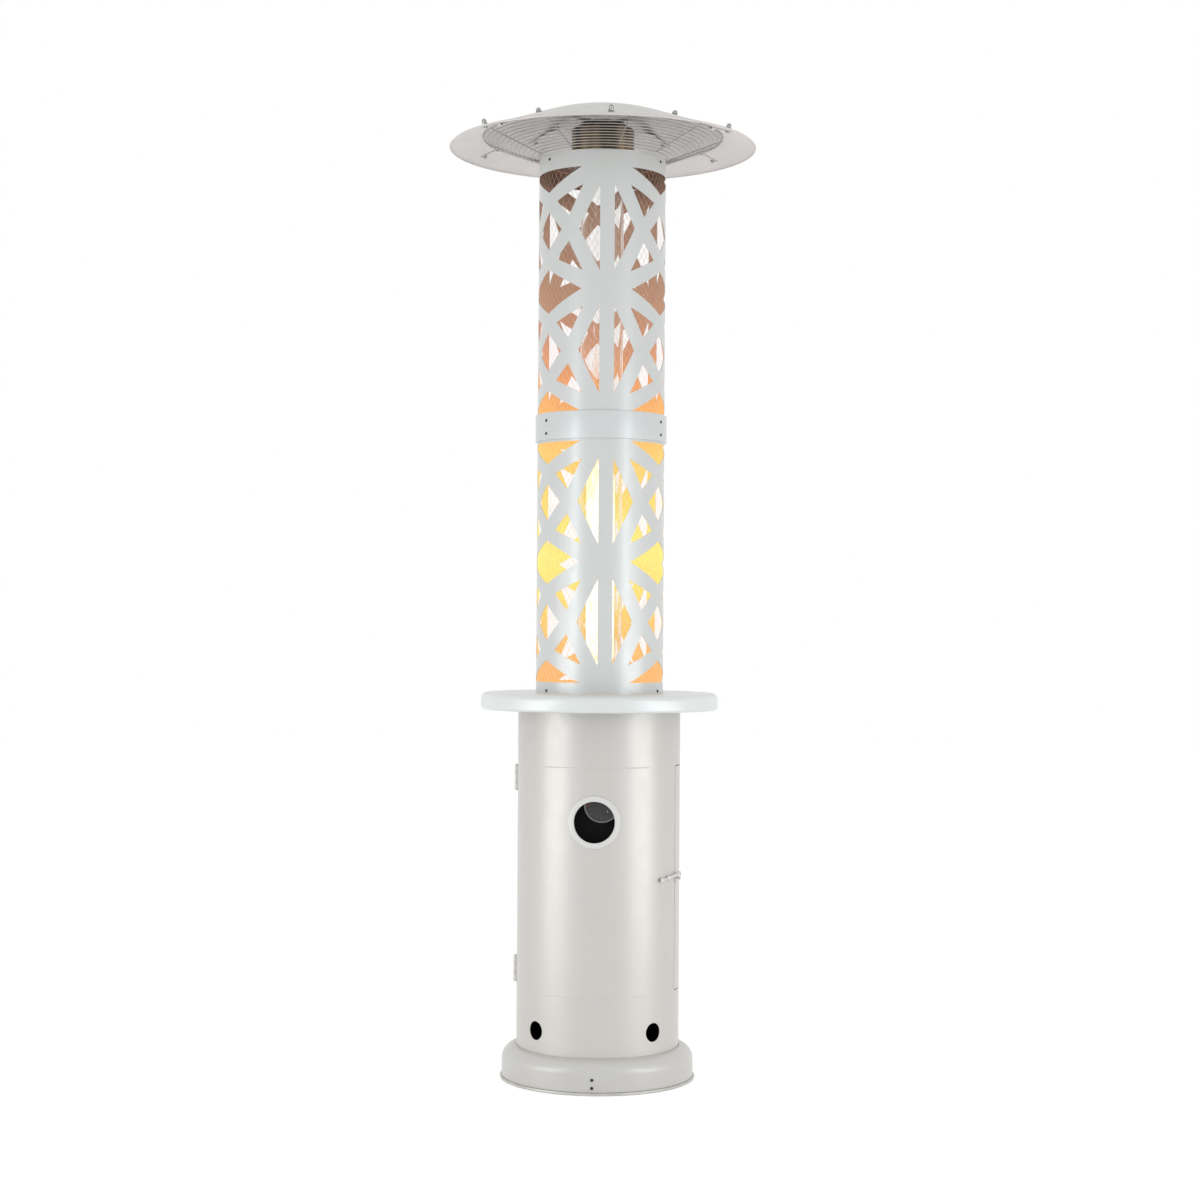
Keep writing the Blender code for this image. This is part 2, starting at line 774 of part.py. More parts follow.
def make_latch():
    place = latch_frame()
    eye = circle(0, 0, RIVET_RADIUS + 2 * GAP, BOLT_FACETS)
    shape = curve_mesh(flat_curve([hook_outline(), eye], HOOK_THICKNESS))
    hook = add_mesh("latch_hook", mesh_of(shape), STEEL)
    lifted = Matrix.Rotation(radians(LATCH_REST_ANGLE), 4, "Z")
    middle = Matrix.Translation((0, 0, LATCH_STANDOFF + HOOK_THICKNESS / 2))
    hook.data.transform(place.to_3x3().to_4x4() @ lifted @ middle)
    hook.location = place.translation

    above = LATCH_STANDOFF + HOOK_THICKNESS + GAP
    profile = [
        (0, above + HEAD_THICKNESS),
        (RIVET_CROWN_RADIUS, above + HEAD_THICKNESS),
        (RIVET_HEAD_RADIUS, above),
        (RIVET_RADIUS, above),
        (RIVET_RADIUS, LATCH_STANDOFF - GAP),
        (RIVET_HEAD_RADIUS, LATCH_STANDOFF - GAP),
        (RIVET_HEAD_RADIUS, GAP),
        (0, GAP),
    ]
    rivet = turned("latch_rivet", profile, PIN_FACETS, BRIGHT_STEEL)
    rivet.matrix_basis = place

    plate_radius = HOUSING_RADIUS + GAP
    start = DOOR_LATCH_AZ + degrees(2 * DOOR_GAP / plate_radius)
    end = start + degrees(PEG_PLATE_WIDTH / plate_radius)
    along, up = peg_offset()
    heights = (LATCH_Z + up - PEG_PLATE_HEIGHT / 2, LATCH_Z + up + PEG_PLATE_HEIGHT / 2)
    plate = round_plate("latch_peg", plate_radius, (start, end), heights, PEG_PLATE_WALL, 1, STEEL)
    profile = [
        (0, above + HEAD_THICKNESS),
        (PEG_HEAD_RADIUS, above + HEAD_THICKNESS),
        (PEG_HEAD_RADIUS, above),
        (PEG_RADIUS, above),
        (PEG_RADIUS, peg_root()),
        (0, peg_root()),
    ]
    peg = turned("peg_shank", profile, PIN_FACETS, STEEL)
    peg.matrix_basis = place @ Matrix.Translation((along, up, 0))
    combine(plate, peg, "UNION")
    set_origin(plate, hinge_axis())
    return hook, plate


def peg_offset():
    """The peg's place from the hook's pivot, along the wall and up."""
    turn = radians(PEG_ANGLE)
    return LATCH_REACH * cos(turn), LATCH_REACH * sin(turn)


def peg_root():
    """Where the peg ends inside its plate, below the hook's pivot plane."""
    along = peg_offset()[0]
    azimuth = LATCH_AZ + degrees(asin(along / HOUSING_RADIUS))
    wall = facet_radius(HOUSING_RADIUS + GAP, azimuth) + PEG_PLATE_WALL / 2
    return (wall * wall - along * along) ** 0.5 - facet_radius(HOUSING_RADIUS, LATCH_AZ)


# Controls


def knob_centre(y):
    return Vector((KNOB_X, y, PORT_Z + KNOB_RISE))


def facing_front(obj, at):
    """Turns a piece made along Z so that its top faces the front."""
    obj.location = at
    obj.rotation_euler = (pi / 2, 0, 0)
    return obj


def make_controls():
    width = 2 * BOX_HALF_WIDTH
    height = BOX_TOP_Z - BOX_BOTTOM_Z
    depth = HOUSING_RADIUS + BOX_BACK_Y
    centre = Vector((0, BOX_BACK_Y - depth / 2, (BOX_TOP_Z + BOX_BOTTOM_Z) / 2))
    box = block("control_box", (width, depth, height), centre, BLACK_STEEL)
    shape = bmesh.new()
    shape.from_mesh(box.data)
    front = [face for face in shape.faces if face.normal.y < -0.5]
    bmesh.ops.delete(shape, geom=front, context="FACES_ONLY")
    shape.to_mesh(box.data)
    shape.free()
    thicken(box, BOX_WALL, -1)
    inside = HOUSING_RADIUS - HOUSING_WALL - GAP
    low, high = BOX_BOTTOM_Z - depth, BOX_TOP_Z + depth
    profile = [(0, high), (inside, high), (inside, low), (0, low)]
    combine(box, turned("housing_bore", profile, FACETS, BLACK_STEEL), "INTERSECT")
    face_front = Matrix.Rotation(pi / 2, 4, "X")
    through = Matrix.Translation(knob_centre(BOX_BACK_Y)) @ face_front
    hole = (STEM_RADIUS + GAP) / cos(pi / PIN_FACETS)
    reach = BOX_WALL + CUT_REACH
    box_hole = rods("box_hole", [through], hole, -reach, reach, PIN_FACETS, BLACK_STEEL)
    combine(box, box_hole, "DIFFERENCE")

    valve_middle = knob_centre(BOX_BACK_Y + GAP + VALVE_SIZE[1] / 2)
    valve = block("gas_valve", VALVE_SIZE, valve_middle, BRASS)
    bevel = valve.modifiers.new("Edges", "BEVEL")
    bevel.width = VALVE_BEVEL
    bevel.segments = 1
    bore = rods("valve_bore", [through], hole, -STEM_BORE_DEPTH - GAP, reach, PIN_FACETS, BRASS)
    combine(valve, bore, "DIFFERENCE")

    under_valve = valve_middle - Vector((0, 0, VALVE_SIZE[2] / 2 + GAP))
    profile = [
        (0, 0),
        (INLET_NUT_RADIUS, 0),
        (INLET_NUT_RADIUS, -INLET_NUT_LENGTH),
        (INLET_RADIUS, -INLET_NUT_LENGTH),
        (INLET_RADIUS, -INLET_LENGTH),
        (0, -INLET_LENGTH),
    ]
    turned("gas_inlet", profile, PIN_FACETS, BRASS, under_valve)
    make_riser(valve_middle)

    socket_end = KNOB_DEPTH - STEM_SOCKET
    stem_length = BOX_BACK_Y + STEM_BORE_DEPTH - KNOB_PUSH - KNOB_FRONT_Y - socket_end - GAP
    tip = knob_centre(KNOB_FRONT_Y + socket_end + GAP)
    profile = [(0, 0), (STEM_RADIUS, 0), (STEM_RADIUS, -stem_length), (0, -stem_length)]
    stem = facing_front(turned("valve_stem", profile, PIN_FACETS, STEEL), tip)

    socket = (STEM_RADIUS + GAP) / cos(pi / PIN_FACETS)
    rim = KNOB_RADIUS - KNOB_RIM
    profile = [
        (0, -KNOB_RIM),
        (rim - KNOB_RIM, -KNOB_RIM),
        (rim, 0),
        (KNOB_RADIUS, -KNOB_RIM),
        (KNOB_RADIUS, -KNOB_DEPTH),
        (socket, -KNOB_DEPTH),
        (socket, -socket_end),
        (0, -socket_end),
    ]
    knob = turned("control_knob", profile, SMALL_FACETS, KNOB_PLASTIC)
    return stem, facing_front(knob, knob_centre(KNOB_FRONT_Y))


def make_riser(valve_middle):
    """The pipe from the valve's top to the burner's throat."""
    start = valve_middle + Vector((0, 0, VALVE_SIZE[2] / 2 + GAP))
    end = Vector((0, 0, TABLE_TOP_Z - BURNER_THROAT_LENGTH - GAP))
    straight_run = Vector((0, 0, RISER_STRAIGHT))
    lower, upper = start + straight_run, end - straight_run
    path = [start]
    for step in range(RISER_STEPS + 1):
        share = step / RISER_STEPS
        ease = share * share * (3 - 2 * share)
        point = lower.lerp(upper, ease)
        point.z = lower.z + (upper.z - lower.z) * share
        path.append(point)
    path.append(end)
    tube("gas_riser", path, RISER_RADIUS, BRASS)


def make_burner():
    seat = TABLE_TOP_Z + GAP
    throat = BURNER_THROAT_RADIUS
    profile = [
        (0, BURNER_HEIGHT),
        (BURNER_RADIUS - BURNER_CHAMFER, BURNER_HEIGHT),
        (BURNER_RADIUS, BURNER_HEIGHT - BURNER_CHAMFER),
        (BURNER_RADIUS, 0),
        (throat, 0),
        (throat, -BURNER_THROAT_LENGTH),
        (0, -BURNER_THROAT_LENGTH),
    ]
    turned("burner_head", profile, SMALL_FACETS, GUARD_STEEL, (0, 0, seat))
    for name, azimuth in (("spark_electrode", 0), ("thermocouple", 180)):
        profile = [
            (0, PROBE_HEIGHT),
            (PROBE_RADIUS, PROBE_HEIGHT),
            (PROBE_RADIUS, PROBE_BASE_HEIGHT),
            (PROBE_BASE_RADIUS, PROBE_BASE_HEIGHT),
            (PROBE_BASE_RADIUS, 0),
            (0, 0),
        ]
        turned(name, profile, BOLT_FACETS, BRIGHT_STEEL, polar(PROBE_CIRCLE, azimuth, seat))


# Table


def make_table():
    edge, corner = TABLE_RADIUS, TABLE_ROUND
    top, bottom = 0, -TABLE_DEPTH
    inset = corner * (1 - cos(pi / 4))
    profile = [
        (BURNER_THROAT_RADIUS + THROAT_CLEARANCE, top),
        (edge - corner, top),
        (edge - inset, top - inset),
        (edge, top - corner),
        (edge, bottom + inset),
        (edge - inset, bottom),
        (edge - inset - TABLE_HEM, bottom),
    ]
    turned("table_top", profile, FACETS, TABLE_PAINT, (0, 0, TABLE_TOP_Z), wall=TABLE_WALL)


# Column


def cell_cuts(low, cell, axis):
    """The star cut-outs of one cell, as angle and height, for the star on this axis."""
    middle = low + cell / 2
    cuts = []
    for side in (1, -1):
        window = [
            (WINDOW_EDGE_ANGLE, low + CUT_INSET),
            (WINDOW_TIP_ANGLE, middle),
            (WINDOW_EDGE_ANGLE, low + cell - CUT_INSET),
        ]
        kite = [(KITE_INNER_ANGLE, CUT_INSET), KITE_OUTER, KITE_TIP]
        upper = [(angle, low + cell - height) for angle, height in kite]
        lower = [(angle, low + height) for angle, height in kite]
        for cut in (window, upper, lower):
            cuts.append([(axis + side * angle, z) for angle, z in cut])
    centre = axis + STAR_STEP / 2
    cuts.append(
        [
            (centre - DIAMOND_HALF_ANGLE, middle),
            (centre, low + DIAMOND_INSET),
            (centre + DIAMOND_HALF_ANGLE, middle),
            (centre, low + cell - DIAMOND_INSET),
        ]
    )
    return cuts


def wedge(node, axis, sides):
    """The diamond between two stars at a node's height, or its upper or lower half."""
    centre = axis + STAR_STEP / 2
    ends = [(centre - WEDGE_HALF_ANGLE, node), (centre + WEDGE_HALF_ANGLE, node)]
    points = [ends[0]]
    if -1 in sides:
        points.append((centre, node - WEDGE_HALF_HEIGHT))
    points.append(ends[1])
    if 1 in sides:
        points.append((centre, node + WEDGE_HALF_HEIGHT))
    return points


def make_sleeve(name, bottom, top, bands):
    """A sleeve with two rows of three stars between its plain end bands."""
    low, high = bottom + bands[0], top - bands[1]
    cell = (high - low) / 2
    cuts = []
    for turn in range(0, 360, STAR_STEP):
        cuts += cell_cuts(low, cell, turn) + cell_cuts(low + cell, cell, turn)
        cuts += [wedge(low, turn, (1,)), wedge(low + cell, turn, (-1, 1)), wedge(high, turn, (-1,))]
    # A cut-out left of the seam is drawn one turn on, so that the flat sheet runs from 0 to 360.
    shift = [360 if min(angle for angle, z in cut) < 0 else 0 for cut in cuts]
    radius = SLEEVE_RADIUS
    flat = [
        [(radians(angle + move) * radius, z) for angle, z in cut]
        for cut, move in zip(cuts, shift)
    ]
    outline = rectangle(0, bottom, 2 * pi * radius, top)
    sleeve = rolled(name, [outline] + flat, radius, SLEEVE_FACETS, SLEEVE_WALL, -1, SLEEVE_PAINT)
    sleeve.rotation_euler = (0, 0, radians(STAR_AZ))
    return sleeve


def make_guard(name, bottom, top):
    """A tube of expanded metal, drawn with coarse diamonds."""
    inside = (SLEEVE_RADIUS - SLEEVE_WALL) * cos(pi / SLEEVE_FACETS)
    radius = inside - GAP
    step = 2 * pi * radius / GUARD_FACETS
    low, high = bottom + GUARD_MARGIN, top - GUARD_MARGIN
    rows = 2 * round((high - low) / GUARD_DIAMOND_HEIGHT)
    rise = (high - low) / rows
    inset_x = GUARD_STRAND
    inset_y = GUARD_STRAND * rise / step
    cuts = []
    for row in range(rows - 1):
        middle = low + rise * (row + 1)
        for column in range(row % 2, GUARD_FACETS, 2):
            left, right = step * column + inset_x, step * (column + 2) - inset_x
            centre = step * (column + 1)
            lower, upper = (centre, middle - rise + inset_y), (centre, middle + rise - inset_y)
            if column + 2 <= GUARD_FACETS:
                cuts.append([(left, middle), lower, (right, middle), upper])
            else:
                # The row that meets the seam leaves a strand along it.
                lower, upper = (centre - inset_x / 2, lower[1]), (centre - inset_x / 2, upper[1])
                cuts.append([(left, middle), lower, upper])
                cuts.append([(step - inset_x, middle), (inset_x / 2, upper[1]), (inset_x / 2, lower[1])])
    outline = rectangle(0, bottom, step * GUARD_FACETS, top)
    guard = rolled(name, [outline] + cuts, radius, GUARD_FACETS, GUARD_WALL, -1, GUARD_STEEL)
    guard.rotation_euler = (0, 0, radians(STAR_AZ))


def make_column():
    bottom = TABLE_TOP_Z + GAP
    make_sleeve("lower_sleeve", bottom, SLEEVE_JOINT_Z, LOWER_BANDS)
    make_sleeve("upper_sleeve", SLEEVE_JOINT_Z + GAP, SLEEVE_TOP_Z, UPPER_BANDS)
    make_guard("lower_guard", bottom, SLEEVE_JOINT_Z)
    make_guard("upper_guard", SLEEVE_JOINT_Z + GAP, SLEEVE_TOP_Z)

    inner = (SLEEVE_RADIUS + GAP) / cos(pi / FACETS)
    half = JOINT_BAND_HEIGHT / 2
    profile = [(JOINT_BAND_RADIUS, half), (JOINT_BAND_RADIUS, -half), (inner, -half), (inner, half)]
    place = (0, 0, SLEEVE_JOINT_Z)
    turned("joining_band", profile, FACETS, SLEEVE_PAINT, place, closed=True)

    hole = GLASS_RADIUS + 3 * GAP
    profile = [
        (SLEEVE_RADIUS, PLATE_THICKNESS),
        (SLEEVE_RADIUS, 0),
        (hole, 0),
        (hole, PLATE_THICKNESS),
    ]
    turned("sleeve_top_plate", profile, FACETS, STEEL, (0, 0, SLEEVE_TOP_Z + GAP), closed=True)


def plate_top():
    return SLEEVE_TOP_Z + GAP + PLATE_THICKNESS


def make_glass():
    seat = TABLE_TOP_Z + GAP
    hole = PROBE_CIRCLE + PROBE_BASE_RADIUS + GAP
    collar = GLASS_RADIUS + GAP
    profile = [
        (collar, GLASS_SEAT_HEIGHT),
        (collar + GLASS_SEAT_LIP, GLASS_SEAT_HEIGHT),
        (GLASS_SEAT_RADIUS, GLASS_SEAT_BASE),
        (GLASS_SEAT_RADIUS, 0),
        (hole, 0),
        (hole, GLASS_SEAT_BASE),
        (collar, GLASS_SEAT_BASE),
    ]
    turned("glass_seat", profile, SMALL_FACETS, STEEL, (0, 0, seat), closed=True)

    bottom = seat + GLASS_SEAT_BASE + GAP
    length = plate_top() + GLASS_TOP_REACH - bottom
    bore = GLASS_RADIUS - GLASS_WALL
    profile = [(GLASS_RADIUS, length), (GLASS_RADIUS, 0), (bore, 0), (bore, length)]
    turned("glass_tube", profile, SMALL_FACETS, GLASS, (0, 0, bottom), closed=True)


# Emitter and its bracket


def make_emitter():
    foot = plate_top() + GAP
    top, corner = EMITTER_TOP_Z - foot, EMITTER_ROUND
    inset = corner * (1 - cos(pi / 4))
    profile = [
        (EMITTER_HOLE_RADIUS, top),
        (EMITTER_RADIUS - corner, top),
        (EMITTER_RADIUS - inset, top - inset),
        (EMITTER_RADIUS, top - corner),
        (EMITTER_RADIUS, 0),
    ]
    place = (0, 0, foot)
    turned("emitter_screen", profile, SMALL_FACETS, TINTED_STEEL, place, wall=EMITTER_WALL)

    profile = [
        (0, CAP_HEIGHT),
        (CAP_RADIUS - CAP_CHAMFER, CAP_HEIGHT),
        (CAP_RADIUS, CAP_HEIGHT - CAP_CHAMFER),
        (CAP_RADIUS, 0),
        (0, 0),
    ]
    cap = turned("emitter_cap", profile, SMALL_FACETS, TINTED_STEEL, (0, 0, EMITTER_TOP_Z + GAP))
    depth = ARM_WALL + CAP_BOLT_DEPTH + GAP
    combine(cap, bolt_holes("cap_holes", cap_bolt_places(), depth), "DIFFERENCE")


def hub_bottom():
    return EMITTER_TOP_Z + GAP + CAP_HEIGHT + GAP


def cap_bolt_places():
    """Where the cap's bolts enter: on the bracket's hub, between the arms."""
    top = hub_bottom() + ARM_WALL
    between = 180 / ARM_COUNT
    return [
        Matrix.Translation(polar(CAP_BOLT_CIRCLE, azimuth + between, top))
        for azimuth in arm_azimuths()
    ]


def bolt_holes(name, places, depth):
    """Cutters for bolts, from just above each place down to a depth below it."""
    radius = (BOLT_RADIUS + GAP) / cos(pi / BOLT_FACETS)
    return rods(name, places, radius, -depth, CUT_REACH, BOLT_FACETS, STEEL)


def reflector_height(radius):
    """Height of the reflector's upper surface, at its facets' edges."""
    radius = abs(radius)
    brim = BRIM_SLOPE * (REFLECTOR_RADIUS - max(radius, BRIM_RADIUS))
    cone = CONE_SLOPE * (BRIM_RADIUS - min(max(radius, DOME_RADIUS), BRIM_RADIUS))
    inside = min(radius, DOME_RADIUS)
    dome = CONE_SLOPE * (DOME_RADIUS - inside * inside / DOME_RADIUS) / 2
    return REFLECTOR_RIM_Z + brim + cone + dome


def reflector_under(radius):
    """Height of the reflector's lower surface in the middle of its facets, where it is lowest."""
    wall = REFLECTOR_WALL * hypot(1, CONE_SLOPE)
    return reflector_height(radius / cos(pi / FACETS)) - wall


def reflector_tilt(radius):
    """How far the reflector leans outwards at a radius, in radians."""
    if radius > BRIM_RADIUS:
        return atan(BRIM_SLOPE)
    return atan(CONE_SLOPE * min(1, radius / DOME_RADIUS))


def on_reflector(radius, azimuth):
    """A frame on the reflector's upper surface whose Z is square to it."""
    place = Matrix.Translation(polar(radius, azimuth, reflector_height(radius)))
    turn = Matrix.Rotation(radians(azimuth - 90), 4, "Z")
    return place @ turn @ Matrix.Rotation(reflector_tilt(radius), 4, "Y")


def outer_bolt_azimuths():
    return [BOLT_AZ + 360 / BOLT_COUNT * number for number in range(BOLT_COUNT)]


def arm_azimuths():
    return [ARM_AZ + 360 / ARM_COUNT * number for number in range(ARM_COUNT)]


def outer_bolt_places():
    return [on_reflector(BOLT_CIRCLE, azimuth) for azimuth in outer_bolt_azimuths()]


def arm_bolt_places():
    return [on_reflector(ARM_BOLT_CIRCLE, azimuth) for azimuth in arm_azimuths()]


def sag(radius):
    """How far the middle of a reflector facet lies below its edges."""
    return reflector_height(radius) - reflector_height(radius / cos(pi / FACETS))


def make_bracket():
    """The hub on the emitter's cap and four arms bent to the reflector's slope."""
    bottom = hub_bottom()
    middle = bottom + ARM_WALL / 2
    profile = [(0, ARM_WALL), (CAP_RADIUS, ARM_WALL), (CAP_RADIUS, 0), (0, 0)]
    hub = turned("reflector_bracket", profile, SMALL_FACETS, STEEL, (0, 0, bottom))
    path = [(ARM_ROOT, middle), (ARM_BEND_RADIUS, middle)]
    for radius in (ARM_BOLT_CIRCLE - ARM_END, ARM_BOLT_CIRCLE + ARM_END):
        lean = ARM_WALL / 2 * hypot(1, CONE_SLOPE)
        path.append((radius, reflector_under(radius) - GAP - lean))
    for number, azimuth in enumerate(arm_azimuths(), 1):
        arm = strap(f"bracket_arm_{number}", path, ARM_WIDTH, ARM_WALL, azimuth, STEEL)
        combine(hub, arm, "UNION")
    depth = REFLECTOR_WALL + sag(ARM_BOLT_CIRCLE) + GAP + ARM_WALL + CUT_REACH
    combine(hub, bolt_holes("arm_holes", arm_bolt_places(), depth), "DIFFERENCE")
    depth = ARM_WALL + CUT_REACH
    combine(hub, bolt_holes("hub_holes", cap_bolt_places(), depth), "DIFFERENCE")


def make_domed_bolts(name, nut_height, circle_radius, strap_wall, places):
    """Bolts whose heads hold a strap under the reflector, with washers and domed nuts on top."""
    shank = REFLECTOR_WALL + sag(circle_radius) + GAP + strap_wall + GAP
    dome = nut_height - WASHER_HEIGHT
    profile = [(0, nut_height)]
    for radius, drop in (NUT_SHOULDER, NUT_BELLY):
        profile.append((NUT_RADIUS * radius, nut_height - dome * drop))
    profile += [
        (NUT_RADIUS * NUT_NECK, WASHER_HEIGHT),
        (NUT_RADIUS, WASHER_HEIGHT),
        (NUT_RADIUS, GAP),
        (BOLT_RADIUS, GAP),
        (BOLT_RADIUS, -shank),
        (BOLT_HEAD_RADIUS, -shank),
        (BOLT_HEAD_RADIUS, -shank - BOLT_HEAD_HEIGHT),
        (0, -shank - BOLT_HEAD_HEIGHT),
    ]
    for number, place in enumerate(places, 1):
        bolt = turned(f"{name}_{number}", profile, BOLT_FACETS, BRIGHT_STEEL)
        bolt.matrix_basis = place


def make_bolts():
    make_domed_bolts("reflector_bolt", NUT_HEIGHT, BOLT_CIRCLE, CLIP_WALL, outer_bolt_places())
    make_domed_bolts("arm_bolt", SMALL_NUT_HEIGHT, ARM_BOLT_CIRCLE, ARM_WALL, arm_bolt_places())

    profile = [
        (0, BOLT_HEAD_HEIGHT + GAP),
        (BOLT_HEAD_RADIUS, BOLT_HEAD_HEIGHT + GAP),
        (BOLT_HEAD_RADIUS, GAP),
        (BOLT_RADIUS, GAP),
        (BOLT_RADIUS, -ARM_WALL - CAP_BOLT_DEPTH + GAP),
        (0, -ARM_WALL - CAP_BOLT_DEPTH + GAP),
    ]
    for number, place in enumerate(cap_bolt_places(), 1):
        bolt = turned(f"cap_bolt_{number}", profile, BOLT_FACETS, STEEL)
        bolt.matrix_basis = place


def make_reflector():
    radii = [DOME_RADIUS * step / DOME_STEPS for step in range(DOME_STEPS + 1)]
    radii += [BRIM_RADIUS, REFLECTOR_RADIUS - RIM_CURL]
    profile = [(radius, reflector_height(radius)) for radius in radii]
    rim = reflector_height(REFLECTOR_RADIUS - RIM_CURL)
    profile.append((REFLECTOR_RADIUS, rim - RIM_CURL))
    profile.append((REFLECTOR_RADIUS - RIM_CURL / 2, REFLECTOR_RIM_Z - RIM_CURL))
    reflector = turned("reflector", profile, FACETS, REFLECTOR_STEEL, wall=REFLECTOR_WALL)
    depth = REFLECTOR_WALL + sag(BOLT_CIRCLE) + CUT_REACH
    places = outer_bolt_places() + arm_bolt_places()
    combine(reflector, bolt_holes("reflector_holes", places, depth), "DIFFERENCE")


# Wire grille and its clips


def grille_cone():
    """The grille's outer and inner radius, its top and its drop from the one to the other."""
    outer, inner = GRILLE_RADIUS + WIRE / 2, GRILLE_INNER_RADIUS - WIRE / 2
    top = reflector_under(outer) - GAP
    return outer, inner, top, top - GRILLE_INNER_Z


def make_grille():
    outer, inner, top, drop = grille_cone()
    slant = hypot(outer - inner, drop)
    pitch = (slant - WIRE) / (GRILLE_RINGS - 1)
    span = 2 * pi * outer
    sector = span / GRILLE_RADIALS

    def radius_at(y):
        return outer + (inner - outer) * y / slant

    def on_cone(x, y):
        return polar(radius_at(y), GRILLE_AZ + 360 * x / span, top - drop * y / slant)

    cuts = []
    for ring in range(GRILLE_RINGS - 1):
        near, far = WIRE + pitch * ring, pitch * (ring + 1)
        for start in (sector * number for number in range(GRILLE_RADIALS)):
            corners = []
            for y, ends in ((near, (0, 1)), (far, (1, 0))):
                half = WIRE / 2 * outer / radius_at(y)
                edges = (start + half, start + sector - half)
                corners += [(edges[end], y) for end in ends]
            cuts.append(corners)
    outline = rectangle(0, 0, span, slant)
    facet = span / GRILLE_FACETS
    rolled_sheet("wire_grille", [outline] + cuts, on_cone, facet, WIRE, 1, STEEL)


def make_clips():
    """Straps under the reflector that hook round the grille's outer ring."""
    half = CLIP_WALL / 2
    lean = half * hypot(1, BRIM_SLOPE)
    outer, inner, top, drop = grille_cone()
    slope = atan(drop / (outer - inner))
    floor_z = top - WIRE * (cos(slope) + sin(slope)) - GAP - half
    outside = outer + WIRE * sin(slope) + GAP + half
    inside = (outer - WIRE) * cos(pi / GRILLE_FACETS) - GAP - half

    def under(radius):
        return radius, reflector_under(radius) - GAP - lean

    path = [
        under(BOLT_CIRCLE + CLIP_END),
        under(BRIM_RADIUS),
        under(outside + CLIP_WALL),
        (outside, floor_z),
        (inside, floor_z),
        (inside - CLIP_LIP / 2, floor_z + CLIP_LIP),
    ]
    depth = REFLECTOR_WALL + sag(BOLT_CIRCLE) + GAP + CLIP_WALL + CUT_REACH
    holes = as_helper(bolt_holes("clip_holes", outer_bolt_places(), depth))
    for number, azimuth in enumerate(outer_bolt_azimuths(), 1):
        clip = strap(f"grille_clip_{number}", path, CLIP_WIDTH, CLIP_WALL, azimuth, STEEL)
        combine(clip, holes, "DIFFERENCE")


def main():
    clear_scene()
    make_base()
    make_housing()
    door = make_door()
    leaves = [make_hinge(name, z) for name, z in zip(("lower_hinge", "upper_hinge"), HINGE_ZS)]
    hook, peg = make_latch()
    stem, knob = make_controls()
    make_burner()
    make_table()
    make_column()
    make_glass()
    make_emitter()
    make_bracket()
    make_reflector()
    make_bolts()
    make_grille()
    make_clips()
    hang(pivot("door_axis", hinge_axis()), door, peg, *leaves)
    hang(pivot("hook_axis", latch_frame().translation), hook)
    turn = pivot("knob_axis", knob_centre(KNOB_FRONT_Y))
    hang(turn, knob)
    hang(pivot("stem_axis", knob_centre(KNOB_FRONT_Y)), stem, turn)


main()
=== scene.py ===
"""Looks of a gas patio heater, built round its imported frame.

Metres, +Z up, the column's axis on Z. The front, with the round control opening, faces -Y.
Azimuths are in degrees from -Y and grow towards +X.
"""

import json
from math import atan, cos, degrees, floor, hypot, pi, radians, sin, tan

import bmesh
import bpy
from mathutils import Matrix, Vector, noise

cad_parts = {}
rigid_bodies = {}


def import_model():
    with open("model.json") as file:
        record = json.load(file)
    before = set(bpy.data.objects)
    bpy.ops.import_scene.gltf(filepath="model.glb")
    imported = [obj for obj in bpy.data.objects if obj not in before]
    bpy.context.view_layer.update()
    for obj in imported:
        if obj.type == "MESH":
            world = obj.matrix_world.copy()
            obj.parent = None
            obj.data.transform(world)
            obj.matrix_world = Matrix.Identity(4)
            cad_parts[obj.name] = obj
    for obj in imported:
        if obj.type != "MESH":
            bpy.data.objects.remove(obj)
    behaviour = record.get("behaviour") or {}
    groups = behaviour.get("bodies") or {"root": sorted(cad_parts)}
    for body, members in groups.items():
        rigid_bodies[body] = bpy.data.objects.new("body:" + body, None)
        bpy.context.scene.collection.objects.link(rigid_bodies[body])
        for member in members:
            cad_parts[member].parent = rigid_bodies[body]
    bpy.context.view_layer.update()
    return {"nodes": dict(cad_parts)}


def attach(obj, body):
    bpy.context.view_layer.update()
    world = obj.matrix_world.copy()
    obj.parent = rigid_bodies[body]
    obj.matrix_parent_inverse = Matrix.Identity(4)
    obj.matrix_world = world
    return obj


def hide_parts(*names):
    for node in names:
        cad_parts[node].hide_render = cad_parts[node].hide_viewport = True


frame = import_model()

# How finely the round pieces are drawn, and what counts as one point
TURN_STEPS = 144
SCREW_STEPS = 24
BEND_DEGREES = 3
MERGE = 0.00001
GAP = 0.0003
STAY = Matrix.Identity(4)

# Base and cabinet
BASE_RADIUS = 0.201
BASE_THICKNESS = 0.006
SKIRT_RADIUS = 0.1975
SKIRT_SHOULDER_Z = 0.040
SKIRT_TOP_Z = 0.068
SKIRT_CLEARANCE = 0.0007
SKIRT_HEM = 0.004
SHOULDER_STEPS = 16
SKIRT_SCREW = {"radius": 0.0032, "height": 0.0022}
SKIRT_SCREW_ZS = (0.0150, 0.0310)
HOUSING_RADIUS = 0.168
SHEET_WALL = 0.0012
ROLL_START_AZ = 30
VENT_RADIUS = 0.019
VENT_Z = 0.113
VENT_AZIMUTHS = (45, 135, 225, 315)
PORT_RADIUS = 0.0415
PORT_Z = 0.5385
PORT_RING_RADIUS = 0.0525
PORT_RING_WALL = 0.0020
PORT_RING_STEP = 0.0012

